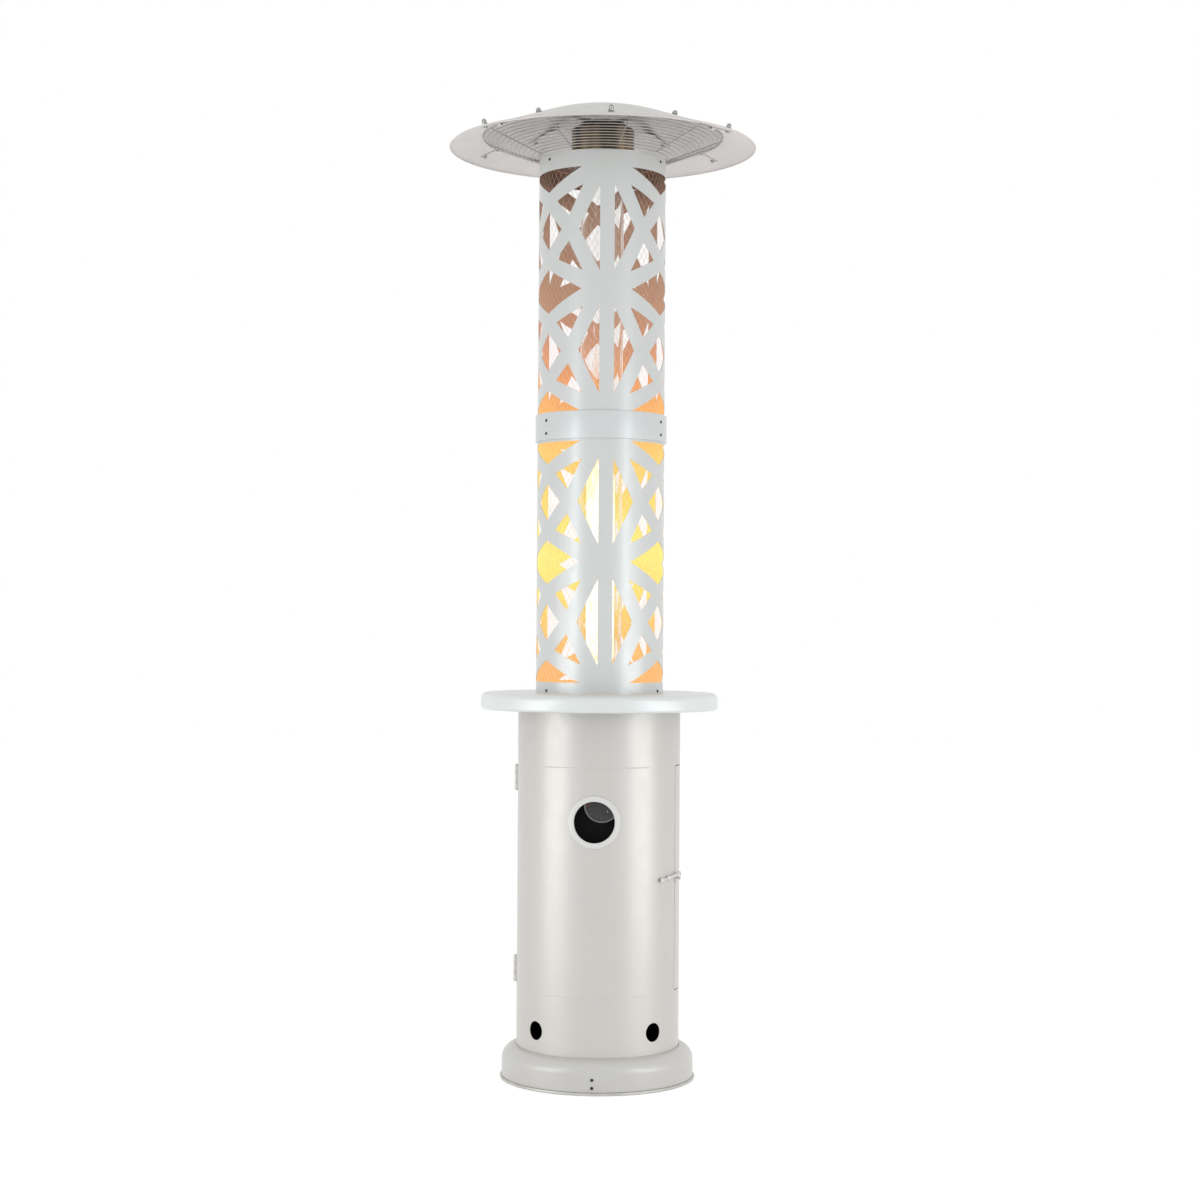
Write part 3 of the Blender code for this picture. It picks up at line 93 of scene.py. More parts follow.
# Cabinet door, its hinges and its hook
DOOR_BOTTOM_Z = 0.187
DOOR_TOP_Z = 0.647
DOOR_LATCH_AZ = 71
DOOR_HINGE_AZ = 268
DOOR_GAP = 0.0015
DOOR_CORNER = 0.005
HINGE_ZS = (0.220, 0.616)
HINGE_HEIGHT = 0.052
HINGE_LEAF_WIDTH = 0.026
HINGE_LEAF_WALL = 0.0015
HINGE_LEAF_CORNER = 0.005
BARREL_RADIUS = 0.0040
BARREL_BORE = 0.0020
MIDDLE_KNUCKLE = 0.022
KNUCKLE_ROOT = 0.0008
PIN_RADIUS = 0.0018
PIN_HEAD_RADIUS = 0.0030
PIN_HEAD_HEIGHT = 0.0012
LEAF_SCREW = {"radius": 0.0026, "height": 0.0014}
LEAF_SCREW_PLACES = ((0.017, -0.018), (0.012, 0.0), (0.017, 0.018))
LATCH_AZ = 60
LATCH_Z = 0.4205
LATCH_REACH = 0.0415
LATCH_REST_ANGLE = 6
PEG_ANGLE = -5
LATCH_STANDOFF = 0.0018
HOOK_THICKNESS = 0.0020
HOOK_WIDTH = 0.0060
HOOK_EYE_RADIUS = 0.0055
HOOK_PLAY = 0.0010
HOOK_TAIL = 0.031
HOOK_NECK_WIDTH = 0.0050
HOOK_BORE = 0.0026
HOOK_LIP = 0.0032
HOOK_LIP_DROP = 0.0040
HOOK_CROWN = 0.0026
TAB_LENGTH = 0.012
TAB_WIDTH = 0.0085
RIVET_RADIUS = 0.0020
RIVET_HEAD_RADIUS = 0.0048
RIVET_HEAD_HEIGHT = 0.0016
PEG_RADIUS = 0.0022
PEG_HEAD_RADIUS = 0.0035
PEG_HEAD_HEIGHT = 0.0016
PEG_PLATE_WIDTH = 0.018
PEG_PLATE_HEIGHT = 0.020
PEG_PLATE_WALL = 0.0015
PEG_SCREW = {"radius": 0.0018, "height": 0.0008}
PEG_SCREW_YS = (-0.006, 0.006)
PEG_SCREW_INSET = 0.0035

# Controls
KNOB_CENTRE = Vector((0.014, -0.150, 0.5725))
KNOB_RADIUS = 0.038
KNOB_DEPTH = 0.016
KNOB_FLUTES = 36
KNOB_FLUTE_SHARE = 0.022
KNOB_FACE_DROP = 0.0020
KNOB_FACE_INSET = 0.0036
KNOB_SIDE_INSET = 0.0012
KNOB_BORE = 0.0045
KNOB_BORE_FLOOR = 0.007
BEZEL_WIDTH = 0.0034
BEZEL_DEPTH = 0.0030
MARK_WALL = 0.0004
MARK_BEVEL = 0.0001
MARK_DROP = 0.0021
OFF_MARK_RADIUS = 0.0022
OFF_MARK_PLACE = (-0.0275, -0.0010)
POINTER_RADIUS = 0.0011
POINTER_PLACE = (0.0115, -0.0135)
TICK_CIRCLE = 0.0265
TICK_HALF_WIDTH = 0.0006
TICK_HALF_LENGTH = 0.0028
TICK_ANGLES = range(-160, 71, 23)
RISER_START = Vector((0.014, -0.0967, 0.5908))
RISER_END = Vector((0, 0, 0.7347))
RISER_STRAIGHT = Vector((0, 0, 0.03))
RISER_RADIUS = 0.004
RISER_STEPS = 24

# Table
TABLE_RADIUS = 0.245
TABLE_TOP_Z = 0.793
TABLE_DEPTH = 0.034
TABLE_WALL = 0.0015
TABLE_ROUND = 0.011
TABLE_HEM = 0.012
TABLE_BORE = 0.017

# Column
SLEEVE_RADIUS = 0.1316
SLEEVE_JOINT_Z = 1.339
SLEEVE_TOP_Z = 1.895
STAR_AZ = 7.5
LOWER_BANDS = (0.023, 0.033)
UPPER_BANDS = (0.027, 0.033)
JOINT_BAND_RADIUS = 0.136
JOINT_BAND_HEIGHT = 0.056
SLEEVE_SCREW = {"radius": 0.0031, "height": 0.0016}
SLEEVE_SCREW_AZ = 67.5
SLEEVE_SCREW_ROWS = (
    (1.886, SLEEVE_RADIUS),
    (1.3505, JOINT_BAND_RADIUS),
    (1.324, JOINT_BAND_RADIUS),
    (0.7985, SLEEVE_RADIUS),
)
PLATE_THICKNESS = 0.0015

# Star cut-outs of one cell, as angle from the star's axis and height from the cell's end
WINDOW_EDGE_ANGLE = 6.5
WINDOW_TIP_ANGLE = 25.5
CUT_INSET = 0.036
KITE_INNER_ANGLE = 21.5
KITE_OUTER = (49.0, 0.065)
KITE_TIP = (35.5, 0.098)
DIAMOND_HALF_ANGLE = 16.7
DIAMOND_INSET = 0.085
WEDGE_HALF_ANGLE = 37.3
WEDGE_HALF_HEIGHT = 0.045
STAR_STEP = 120

# Expanded metal inside the sleeves
MESH_RADIUS = 0.1299
MESH_COUNT = 62
MESH_ROW_HEIGHT = 0.0218
MESH_STRAND = 0.0027
MESH_WALL = 0.0009

# Glass tube and flame
GLASS_RADIUS = 0.0445
GLASS_WALL = 0.0030
GLASS_FOOT_Z = 0.8006
GLASS_TOP_Z = 1.9087
FLAME_ROWS = 90
FLAME_STEPS = 72
FLAME_FOOT_Z = 0.8285
FLAME_GLOW_FOOT_Z = 0.82
CORE_TOP_Z = 1.355
CORE_FADE_Z = 1.36
CORE_OUTLINE = ((0, 0.021), (0.10, 0.029), (0.75, 0.029), (0.92, 0.020), (1.0, 0.002))
VEIL_TOP_Z = 1.56
VEIL_OUTLINE = ((0, 0.026), (0.08, 0.034), (0.60, 0.034), (0.85, 0.022), (1.0, 0.003))

# Emitter
EMITTER_RADIUS = 0.0655
EMITTER_TOP_Z = 1.966
EMITTER_HOLE_RADIUS = 0.036
CAP_RADIUS = 0.047
CAP_HEIGHT = 0.009

# Reflector
REFLECTOR_RADIUS = 0.319
REFLECTOR_RIM_Z = 1.925
DOME_RADIUS = 0.1455
DOME_STEPS = 14
BRIM_RADIUS = 0.262
CONE_SLOPE = 0.355
BRIM_SLOPE = 0.310
RIM_CURL = 0.0035

# Reflector fixings
BOLT_CIRCLE = 0.283
BOLT_AZIMUTHS = [6.2 + 60 * number for number in range(6)]
BOLT_RADIUS = 0.0025
BOLT_HEAD = {"radius": 0.0050, "height": 0.0025}
RIM_BOLT_GRIP = 0.0034
ARM_BOLT_GRIP = 0.0044
WASHER_RADIUS = 0.0064
WASHER_WALL = 0.0012
NUT_BORE = 0.0026
NUT_CORNER_RADIUS = 0.0060
NUT_DOME_RADIUS = 0.0050
NUT_HEIGHT = 0.014
SMALL_NUT_HEIGHT = 0.009
ARM_AZIMUTHS = [51.2 + 90 * number for number in range(4)]
ARM_WIDTH = 0.020
ARM_WALL = 0.0020
ARM_ROOT_RADIUS = 0.030
ARM_KNEE_RADIUS = 0.150
ARM_KNEE_ROUND = 0.012
ARM_FOOT = 0.011
ARM_BOLT_CIRCLE = 0.194
CAP_BOLT_CIRCLE = 0.036

# Wire grille and its clips
GRILLE_RADIUS = 0.248
GRILLE_INNER_RADIUS = 0.137
GRILLE_INNER_Z = 1.9015
GRILLE_RINGS = 13
GRILLE_RADIALS = 9
GRILLE_AZ = 16
WIRE = 0.0030
RING_WIRE = 0.0021
SPOKE = 0.0026
CLIP_WIDTH = 0.012
CLIP_TOE = 0.007

# Painted glow of the flame on what surrounds it, by height, given as emission
GLOW_LOW_Z = 0.79
GLOW_HIGH_Z = 1.90
GLOW_STOPS = (
    (0.84, (1.0, 0.53, 0.19)),
    (0.94, (1.0, 0.66, 0.18)),
    (1.00, (1.0, 0.82, 0.20)),
    (1.08, (1.0, 0.93, 0.24)),
    (1.20, (1.0, 0.80, 0.19)),
    (1.29, (1.0, 0.66, 0.18)),
    (1.37, (1.0, 0.52, 0.16)),
    (1.45, (0.88, 0.38, 0.15)),
    (1.53, (0.62, 0.30, 0.18)),
    (1.62, (0.44, 0.25, 0.16)),
    (1.80, (0.32, 0.19, 0.13)),
    (1.87, (0.05, 0.03, 0.02)),
)

# Colours that heat leaves on the emitter, from its foot to its top, kept dark as a painted
# reflection of dark surroundings
HEAT_STOPS = (
    (0.0, (0.26, 0.22, 0.13)),
    (0.30, (0.19, 0.14, 0.065)),
    (0.55, (0.14, 0.085, 0.038)),
    (0.75, (0.10, 0.055, 0.032)),
    (0.90, (0.065, 0.036, 0.030)),
    (1.0, (0.045, 0.034, 0.036)),
)

# Studio
SKY_STRENGTH = 0.80
FLOOR_LIFT = 0.40
STRIP_DISTANCE = 2.6
LOW_STRIPS = {"turn": 62, "width": 1.5, "low": -0.9, "high": 0.86, "glow": 8.6}
HIGH_STRIPS = {"turn": 45, "width": 0.40, "low": 0.78, "high": 1.66, "glow": 14.5}
HIGH_STRIP_COLOUR = (0.84, 0.91, 1.0)

# Camera
CAMERA_AZ = 3
CAMERA_DISTANCE = 4.531
CAMERA_Z = 0.9331
CAMERA_PITCH = 0.0115
CAMERA_ROLL = 0.0063
CAMERA_LENS = 65.455


# Shapes


def polar(radius, azimuth, z=0.0):
    """The point at this radius and azimuth."""
    angle = radians(azimuth)
    return Vector((radius * sin(angle), -radius * cos(angle), z))


def mesh_of(shape, sharp=32):
    """Turns a bmesh into a smooth mesh with sharp edges where it turns more than stated."""
    mesh = bpy.data.meshes.new("shape")
    shape.to_mesh(mesh)
    shape.free()
    mesh.shade_smooth()
    mesh.set_sharp_from_angle(angle=radians(sharp))
    return mesh


def link(name, mesh, *materials):
    """Puts a mesh into the scene as a piece of its own."""
    mesh.name = name
    for slot, material in enumerate(materials):
        if slot < len(mesh.materials):
            mesh.materials[slot] = material
        else:
            mesh.materials.append(material)
    piece = bpy.data.objects.new(name, mesh)
    bpy.context.scene.collection.objects.link(piece)
    return piece


def settle(piece, body, slot, *nodes):
    """Rides the piece on its body and hides the nodes that it stands for. Its slot, the name of its
    finish, is not used.
    """
    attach(piece, body)
    if nodes:
        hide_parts(*nodes)
    return piece


def baked(mesh_object):
    """The mesh with its modifiers applied. The helper object goes."""
    graph = bpy.context.evaluated_depsgraph_get()
    mesh = bpy.data.meshes.new_from_object(mesh_object.evaluated_get(graph), depsgraph=graph)
    bpy.data.objects.remove(mesh_object)
    return mesh


def rounded(path, steps=5):
    """Rounds the corners of a path whose points carry a third value, the corner's radius."""
    result = []
    for index, point in enumerate(path):
        here = Vector(point[:2])
        if len(point) < 3 or index in (0, len(path) - 1):
            result.append(here)
            continue
        back = Vector(path[index - 1][:2]) - here
        ahead = Vector(path[index + 1][:2]) - here
        half = back.angle(ahead) / 2
        reach = min(point[2] / tan(half), 0.49 * back.length, 0.49 * ahead.length)
        radius = reach * tan(half)
        middle = here + (back.normalized() + ahead.normalized()).normalized() * radius / sin(half)
        start = here + back.normalized() * reach - middle
        end = here + ahead.normalized() * reach - middle
        for step in range(steps + 1):
            share = step / steps
            result.append(middle + start.lerp(end, share).normalized() * radius)
    return result


def walled(path, wall):
    """The closed section of a sheet that follows a path, with its wall on the path's right."""
    sides = []
    for start, end in zip(path, path[1:]):
        run = (end - start).normalized()
        sides.append(Vector((run.y, -run.x)))
    offset = []
    for index, point in enumerate(path):
        before = sides[max(index - 1, 0)]
        after = sides[min(index, len(sides) - 1)]
        mitre = (before + after).normalized()
        offset.append(point + mitre * wall / max(mitre.dot(after), 0.3))
    return list(path) + offset[::-1]


def turned_mesh(section, steps=TURN_STEPS, sharp=32):
    """A closed section of (radius, z) points turned about Z."""
    shape = bmesh.new()
    points = [shape.verts.new((radius, 0, z)) for radius, z in section]
    for start, end in zip(points, points[1:] + points[:1]):
        shape.edges.new((start, end))
    bmesh.ops.spin(
        shape,
        geom=shape.verts[:] + shape.edges[:],
        cent=(0, 0, 0),
        axis=(0, 0, 1),
        angle=2 * pi,
        steps=steps,
        use_merge=True,
    )
    weld(shape)
    bmesh.ops.dissolve_degenerate(shape, edges=shape.edges, dist=MERGE / 2)
    bmesh.ops.recalc_face_normals(shape, faces=shape.faces)
    return mesh_of(shape, sharp)


def turned(name, section, material, steps=TURN_STEPS):
    """A turned piece."""
    return link(name, turned_mesh(section, steps), material)


def circle(x, y, radius, count=72):
    """Points round a circle, as a flat outline."""
    steps = (2 * pi * step / count for step in range(count))
    return [(x + radius * cos(angle), y + radius * sin(angle)) for angle in steps]


def rectangle(left, bottom, right, top, corner=0.0):
    """A rectangle as a flat outline, with rounded corners if they are given."""
    corners = [(left, bottom), (right, bottom), (right, top), (left, top)]
    if not corner:
        return corners
    middle = ((left + right) / 2, bottom)
    path = [middle] + [(x, y, corner) for x, y in corners[1:] + corners[:1]] + [middle]
    return [tuple(point) for point in rounded(path)[1:]]


def flat_curve(outlines, thickness=0.0, bevel=0.0):
    """A filled 2D curve: the first outline is the edge and the others are holes."""
    curve = bpy.data.curves.new("outline", "CURVE")
    curve.dimensions = "2D"
    curve.fill_mode = "BOTH"
    curve.extrude = thickness / 2 - bevel
    curve.bevel_depth = bevel
    curve.bevel_resolution = 2
    curve.offset = -bevel
    for outline in outlines:
        spline = curve.splines.new("POLY")
        spline.points.add(len(outline) - 1)
        for point, (x, y) in zip(spline.points, outline):
            point.co = (x, y, 0, 1)
        spline.use_cyclic_u = True
    return curve


def weld(shape):
    """Merges the points that lie on one another."""
    bmesh.ops.remove_doubles(shape, verts=shape.verts, dist=MERGE)


def curve_shape(curve):
    """The surface that a curve draws, as a welded bmesh."""
    guide = bpy.data.objects.new("guide", curve)
    bpy.context.scene.collection.objects.link(guide)
    mesh = baked(guide)
    shape = bmesh.new()
    shape.from_mesh(mesh)
    weld(shape)
    return shape


def score(shape, lengths):
    """Cuts a flat sheet across at each length along X, so that it can bend there."""
    for length in lengths:
        cut = shape.verts[:] + shape.edges[:] + shape.faces[:]
        bmesh.ops.bisect_plane(
            shape, geom=cut, dist=MERGE, plane_co=(length, 0, 0), plane_no=(1, 0, 0)
        )
    weld(shape)


def thicken(sheet, wall, offset):
    """Gives a sheet its wall: offset -1 puts it inside the surface and 0 half on each side."""
    solid = sheet.modifiers.new("Wall", "SOLIDIFY")
    solid.thickness = wall
    solid.offset = offset
    return solid


def rolled_mesh(outlines, radius, wall):
    """A sheet drawn as length round a cylinder and height, rolled up. Its wall goes inwards.

    The inner side gets the second material. The normals follow the true cylinder.
    """
    shape = curve_shape(flat_curve(outlines))
    bend = radians(BEND_DEGREES) * radius
    lengths = [point[0] for point in outlines[0]]
    first = floor(min(lengths) / bend) + 1
    score(shape, [bend * index for index in range(first, floor(max(lengths) / bend) + 1)])
    for vert in shape.verts:
        vert.co = polar(radius, degrees(vert.co.x / radius), vert.co.y)
    for face in shape.faces:
        face.normal_update()
        middle = face.calc_center_median()
        if face.normal.dot(Vector((middle.x, middle.y, 0))) < 0:
            face.normal_flip()
    weld(shape)
    sheet = link("rolled", mesh_of(shape))
    thicken(sheet, wall, -1).material_offset = 1
    sheet.data.materials.append(None)
    sheet.data.materials.append(None)
    mesh = baked(sheet)
    follow_cylinder(mesh)
    return mesh


def follow_cylinder(mesh):
    """Gives a rolled sheet's two sides the normals of a true cylinder."""
    mesh.shade_smooth()
    normals = [None] * len(mesh.loops)
    for face in mesh.polygons:
        flat = face.normal
        for index in face.loop_indices:
            place = mesh.vertices[mesh.loops[index].vertex_index].co
            out = Vector((place.x, place.y, 0)).normalized()
            side = flat.dot(out)
            normals[index] = out * (1 if side > 0 else -1) if abs(side) > 0.8 else flat.copy()
    mesh.normals_split_custom_set(normals)


def plate_mesh(outlines, wall, bevel=0.0003):
    """A flat plate with rounded edges that stands on z = 0."""
    shape = curve_shape(flat_curve(outlines, wall, bevel))
    bmesh.ops.translate(shape, vec=(0, 0, wall / 2), verts=shape.verts)
    return mesh_of(shape, 50)


def wrapped(mesh, radius, azimuth, z, bend=0.004):
    """Lays a flat piece on a cylinder: X runs round it, Y up and Z out of it."""
    shape = bmesh.new()
    shape.from_mesh(mesh)
    low = min(vert.co.x for vert in shape.verts)
    high = max(vert.co.x for vert in shape.verts)
    score(shape, [bend * index for index in range(floor(low / bend) + 1, floor(high / bend) + 1)])
    for vert in shape.verts:
        angle = azimuth + degrees(vert.co.x / radius)
        vert.co = polar(radius + vert.co.z, angle, z + vert.co.y)
    return mesh_of(shape, 50)


def joined(pairs):
    """One mesh out of pairs of a mesh and where it goes."""
    shape = bmesh.new()
    for mesh, place in pairs:
        moved = mesh.copy()
        moved.transform(place)
        shape.from_mesh(moved)
    return mesh_of(shape, 40)


def prism(section, width):
    """A bent strap: a closed section of (radius, z) points made as wide as stated."""
    shape = bmesh.new()
    points = [shape.verts.new((radius, 0, z)) for radius, z in section]
    side = shape.faces.new(points)
    swept = bmesh.ops.extrude_face_region(shape, geom=[side])
    moved = [item for item in swept["geom"] if isinstance(item, bmesh.types.BMVert)]
    bmesh.ops.translate(shape, vec=(0, width, 0), verts=moved)
    bmesh.ops.translate(shape, vec=(0, -width / 2, 0), verts=shape.verts)
    bmesh.ops.recalc_face_normals(shape, faces=shape.faces)
    return mesh_of(shape)


def to_points(path):
    """A path's places as plain vectors."""
    return [Vector(place) for place in path]


def stand_at(azimuth):
    """Turns a piece drawn along +X so that it points at an azimuth."""
    return Matrix.Rotation(radians(azimuth - 90), 4, "Z")


def on_wall(radius, azimuth, z):
    """A place on a cylinder whose Z points out of it and whose Y points up."""
    out = polar(1, azimuth)
    along = Vector((cos(radians(azimuth)), sin(radians(azimuth)), 0))
    place = Matrix((along, Vector((0, 0, 1)), out)).transposed().to_4x4()
    place.translation = polar(radius, azimuth, z)
    return place


def wires(name, paths, radius, material):
    """Round wires along lists of points. A path that ends where it starts is a ring."""
    curve = bpy.data.curves.new(name, "CURVE")
    curve.dimensions = "3D"
    curve.bevel_depth = radius
    curve.bevel_resolution = 3
    curve.use_fill_caps = True
    for path in paths:
        ring = (path[0] - path[-1]).length < MERGE
        points = path[:-1] if ring else path
        spline = curve.splines.new("POLY")
        spline.points.add(len(points) - 1)
        for point, place in zip(spline.points, points):
            point.co = (*place, 1)
        spline.use_cyclic_u = ring
    return link(name, mesh_of(curve_shape(curve), 60), material)


def ring_path(radius, z, steps=TURN_STEPS):
    """The points of a level ring, back to its start."""
    return [polar(radius, 360 * step / steps, z) for step in range(steps + 1)]


def screw_mesh(radius, height):
    """A domed screw head with a cross recess, standing on z = 0."""
    path = [(0, height), (radius * 0.55, height, radius), (radius, height * 0.35, height / 2)]
    section = rounded(path + [(radius, 0), (0, 0)], 4)
    head = link("head", turned_mesh(section, SCREW_STEPS))
    arm = radius * 0.62
    slot = radius * 0.13
    for size in ((arm, slot), (slot, arm)):
        shape = bmesh.new()
        bmesh.ops.create_cube(shape, size=2)
        bmesh.ops.scale(shape, vec=(*size, height * 0.55), verts=shape.verts)
        bmesh.ops.translate(shape, vec=(0, 0, height), verts=shape.verts)
        cutter = link("cutter", mesh_of(shape))
        cutter.hide_render = True
        recess = head.modifiers.new("Recess", "BOOLEAN")
        recess.object = cutter
    mesh = baked(head)
    for piece in [item for item in bpy.data.objects if item.name.startswith("cutter")]:
        bpy.data.objects.remove(piece)
    mesh.materials.clear()
    mesh.set_sharp_from_angle(angle=radians(30))
    return mesh


# Nodes


def set_socket(tree, socket, value):
    """Links the socket to another one, or sets its value."""
    if isinstance(value, bpy.types.NodeSocket):
        tree.links.new(value, socket)
    elif isinstance(value, tuple) and len(value) == 3 and socket.type == "RGBA":
        socket.default_value = (*value, 1)
    else:
        socket.default_value = value


def add_node(tree, kind, inputs, **settings):
    """A node with its settings and its inputs, by name or number."""
    node = tree.nodes.new(kind)
    for name, value in settings.items():
        setattr(node, name, value)
    for name, value in inputs.items():
        set_socket(tree, node.inputs[name], value)
    return node


def work_out(tree, operation, first, second=0.0, clamp=False):
    """A Math node's result."""
    inputs = {0: first, 1: second}
    node = add_node(tree, "ShaderNodeMath", inputs, operation=operation, use_clamp=clamp)
    return node.outputs[0]


def span(tree, value, low, high, start=0.0, end=1.0):
    """A value mapped from one range to another and kept inside it."""
    inputs = {"Value": value, "From Min": low, "From Max": high, "To Min": start, "To Max": end}
    return add_node(tree, "ShaderNodeMapRange", inputs).outputs["Result"]


def blended(tree, share, first, second, mode="MIX"):
    """Two colours mixed."""
    inputs = {0: share, 6: first, 7: second}
    node = add_node(tree, "ShaderNodeMix", inputs, data_type="RGBA", blend_type=mode)
    return node.outputs[2]


def object_place(tree):
    """The point on the piece, in metres."""
    return add_node(tree, "ShaderNodeTexCoord", {}).outputs["Object"]


def coordinates(tree):
    """The point's X, Y and Z."""
    node = add_node(tree, "ShaderNodeSeparateXYZ", {0: object_place(tree)})
    return node.outputs[0], node.outputs[1], node.outputs[2]


def stretched(tree, scale, rotation=(0.0, 0.0, 0.0)):
    """The point on the piece, scaled on each axis so that noise is drawn out into lines."""
    inputs = {"Vector": object_place(tree), "Rotation": rotation, "Scale": scale}
    return add_node(tree, "ShaderNodeMapping", inputs).outputs[0]


def scaled_colour(tree, colour, factor):
    """A colour made lighter or darker."""
    inputs = {0: colour, "Scale": factor}
    return add_node(tree, "ShaderNodeVectorMath", inputs, operation="SCALE").outputs[0]


def cloud(tree, size, detail=2.0, place=None, distortion=0.0):
    """Noise with features of the stated size per metre, from 0 to 1."""
    inputs = {
        "Vector": place or object_place(tree),
        "Scale": size,
        "Detail": detail,
        "Distortion": distortion,
    }
    return add_node(tree, "ShaderNodeTexNoise", inputs).outputs["Fac"]


def node_group(name, inputs, outputs):
    """A shader node group with named sockets, and its tree, inputs and outputs."""
    kinds = {"value": "NodeSocketFloat", "colour": "NodeSocketColor"}
    tree = bpy.data.node_groups.new(name, "ShaderNodeTree")
    for socket, value in inputs:
        kind = "colour" if isinstance(value, tuple) else "value"
        item = tree.interface.new_socket(name=socket, in_out="INPUT", socket_type=kinds[kind])
        item.default_value = (*value, 1) if kind == "colour" else value
    for socket, kind in outputs:
        tree.interface.new_socket(name=socket, in_out="OUTPUT", socket_type=kinds[kind])
    entry = tree.nodes.new("NodeGroupInput").outputs
    ending = tree.nodes.new("NodeGroupOutput").inputs
    return tree, entry, ending


def paint_skin_group():
    """The small waves of sprayed paint, with a few dust specks under it."""
    inputs = [("Waves per metre", 420.0), ("Depth", 1.0), ("Specks", 0.2)]
    tree, entry, ending = node_group("Sprayed paint skin", inputs, [("Height", "value")])
    waves = cloud(tree, entry["Waves per metre"], 1.5)
    long_waves = cloud(tree, 60.0, 1.0)
    height = work_out(tree, "ADD", waves, work_out(tree, "MULTIPLY", long_waves, 2.2))
    height = work_out(tree, "MULTIPLY", height, entry["Depth"])
    inputs = {"Vector": object_place(tree), "Scale": 90.0}
    dots = add_node(tree, "ShaderNodeTexVoronoi", inputs, feature="F1").outputs["Distance"]
    specks = work_out(tree, "MULTIPLY", span(tree, dots, 0.03, 0.09, 1, 0), entry["Specks"])
    tree.links.new(work_out(tree, "ADD", height, specks), ending["Height"])
    return tree


def finish_drift_group():
    """Slow changes of a finish's colour and gloss over the surface."""
    inputs = [("Colour", (0.5, 0.5, 0.5)), ("Drift", 0.05), ("Patches per metre", 9.0)]
    inputs += [("Roughness", 0.3), ("Roughness drift", 0.1)]
    outputs = [("Colour", "colour"), ("Roughness", "value"), ("Patches", "value")]
    tree, entry, ending = node_group("Finish drift", inputs, outputs)
    patches = cloud(tree, entry["Patches per metre"], 3.0, distortion=0.3)
    swing = span(tree, patches, 0.3, 0.7, -1, 1)
    factor = work_out(tree, "ADD", work_out(tree, "MULTIPLY", swing, entry["Drift"]), 1.0)
    tree.links.new(scaled_colour(tree, entry["Colour"], factor), ending["Colour"])
    fine = cloud(tree, 35.0, 4.0)
    swing = work_out(tree, "MULTIPLY", span(tree, fine, 0.3, 0.7, -1, 1), entry["Roughness drift"])
    tree.links.new(work_out(tree, "ADD", entry["Roughness"], swing), ending["Roughness"])
    tree.links.new(patches, ending["Patches"])
    return tree


def wear_group():
    """Fine rubbed lines and finger smudges, as masks."""
    inputs = [("Scratches", 0.3), ("Smudges", 0.3)]
    outputs = [("Scratch mask", "value"), ("Smudge mask", "value")]
    tree, entry, ending = node_group("Handling wear", inputs, outputs)
    lines = cloud(tree, 1.0, 2.0, stretched(tree, (14, 260, 60), (0.4, 0.2, 0.7)))
    thin = work_out(tree, "ABSOLUTE", work_out(tree, "SUBTRACT", lines, 0.5))
    thin = span(tree, thin, 0.0, 0.012, 1, 0)
    sparse = span(tree, cloud(tree, 11.0, 1.0), 0.52, 0.64)
    scratch = work_out(tree, "MULTIPLY", thin, sparse)
    scratch = work_out(tree, "MULTIPLY", scratch, entry["Scratches"])
    tree.links.new(scratch, ending["Scratch mask"])
    smudge = span(tree, cloud(tree, 22.0, 3.0, distortion=1.5), 0.5, 0.75)
    tree.links.new(work_out(tree, "MULTIPLY", smudge, entry["Smudges"]), ending["Smudge mask"])
    return tree


def settled_dirt_group():
    """Splashes near the ground and fine dust on what faces up, as masks."""
    inputs = [("Splash height", 0.12), ("Splashes", 0.3), ("Dust", 0.2)]
    outputs = [("Splash mask", "value"), ("Dust mask", "value")]
    tree, entry, ending = node_group("Settled dirt", inputs, outputs)
    height = coordinates(tree)[2]
    low = work_out(tree, "DIVIDE", height, entry["Splash height"])
    low = work_out(tree, "SUBTRACT", 1.0, low, clamp=True)
    spots = span(tree, cloud(tree, 55.0, 6.0, distortion=0.6), 0.42, 0.75)
    spots = work_out(tree, "MULTIPLY", work_out(tree, "MULTIPLY", low, spots), entry["Splashes"])
    tree.links.new(spots, ending["Splash mask"])
    normal = add_node(tree, "ShaderNodeNewGeometry", {}).outputs["Normal"]
    up = add_node(tree, "ShaderNodeSeparateXYZ", {0: normal}).outputs[2]
    dust = work_out(tree, "MULTIPLY", span(tree, up, 0.5, 0.95), entry["Dust"])
    dust = work_out(tree, "MULTIPLY", dust, span(tree, cloud(tree, 30.0, 5.0), 0.3, 0.7))
    tree.links.new(dust, ending["Dust mask"])
    return tree


def turned_grain_group():
    """The fine rings that turning or spinning leaves round the Z axis."""
    inputs = [("Rings per metre", 900.0), ("Depth", 1.0)]
    outputs = [("Height", "value"), ("Streaks", "value")]
    tree, entry, ending = node_group("Turned grain", inputs, outputs)
    x, y, z = coordinates(tree)
    flat = add_node(tree, "ShaderNodeCombineXYZ", {0: x, 1: y, 2: 0.0}).outputs[0]
    radius = add_node(tree, "ShaderNodeVectorMath", {0: flat}, operation="LENGTH").outputs["Value"]
    inputs = {
        0: work_out(tree, "MULTIPLY", radius, entry["Rings per metre"]),
        1: work_out(tree, "MULTIPLY", z, entry["Rings per metre"]),
        2: work_out(tree, "MULTIPLY", x, 6.0),
    }
    place = add_node(tree, "ShaderNodeCombineXYZ", inputs).outputs[0]
    rings = cloud(tree, 1.0, 2.0, place)
    tree.links.new(work_out(tree, "MULTIPLY", rings, entry["Depth"]), ending["Height"])
    tree.links.new(rings, ending["Streaks"])
    return tree


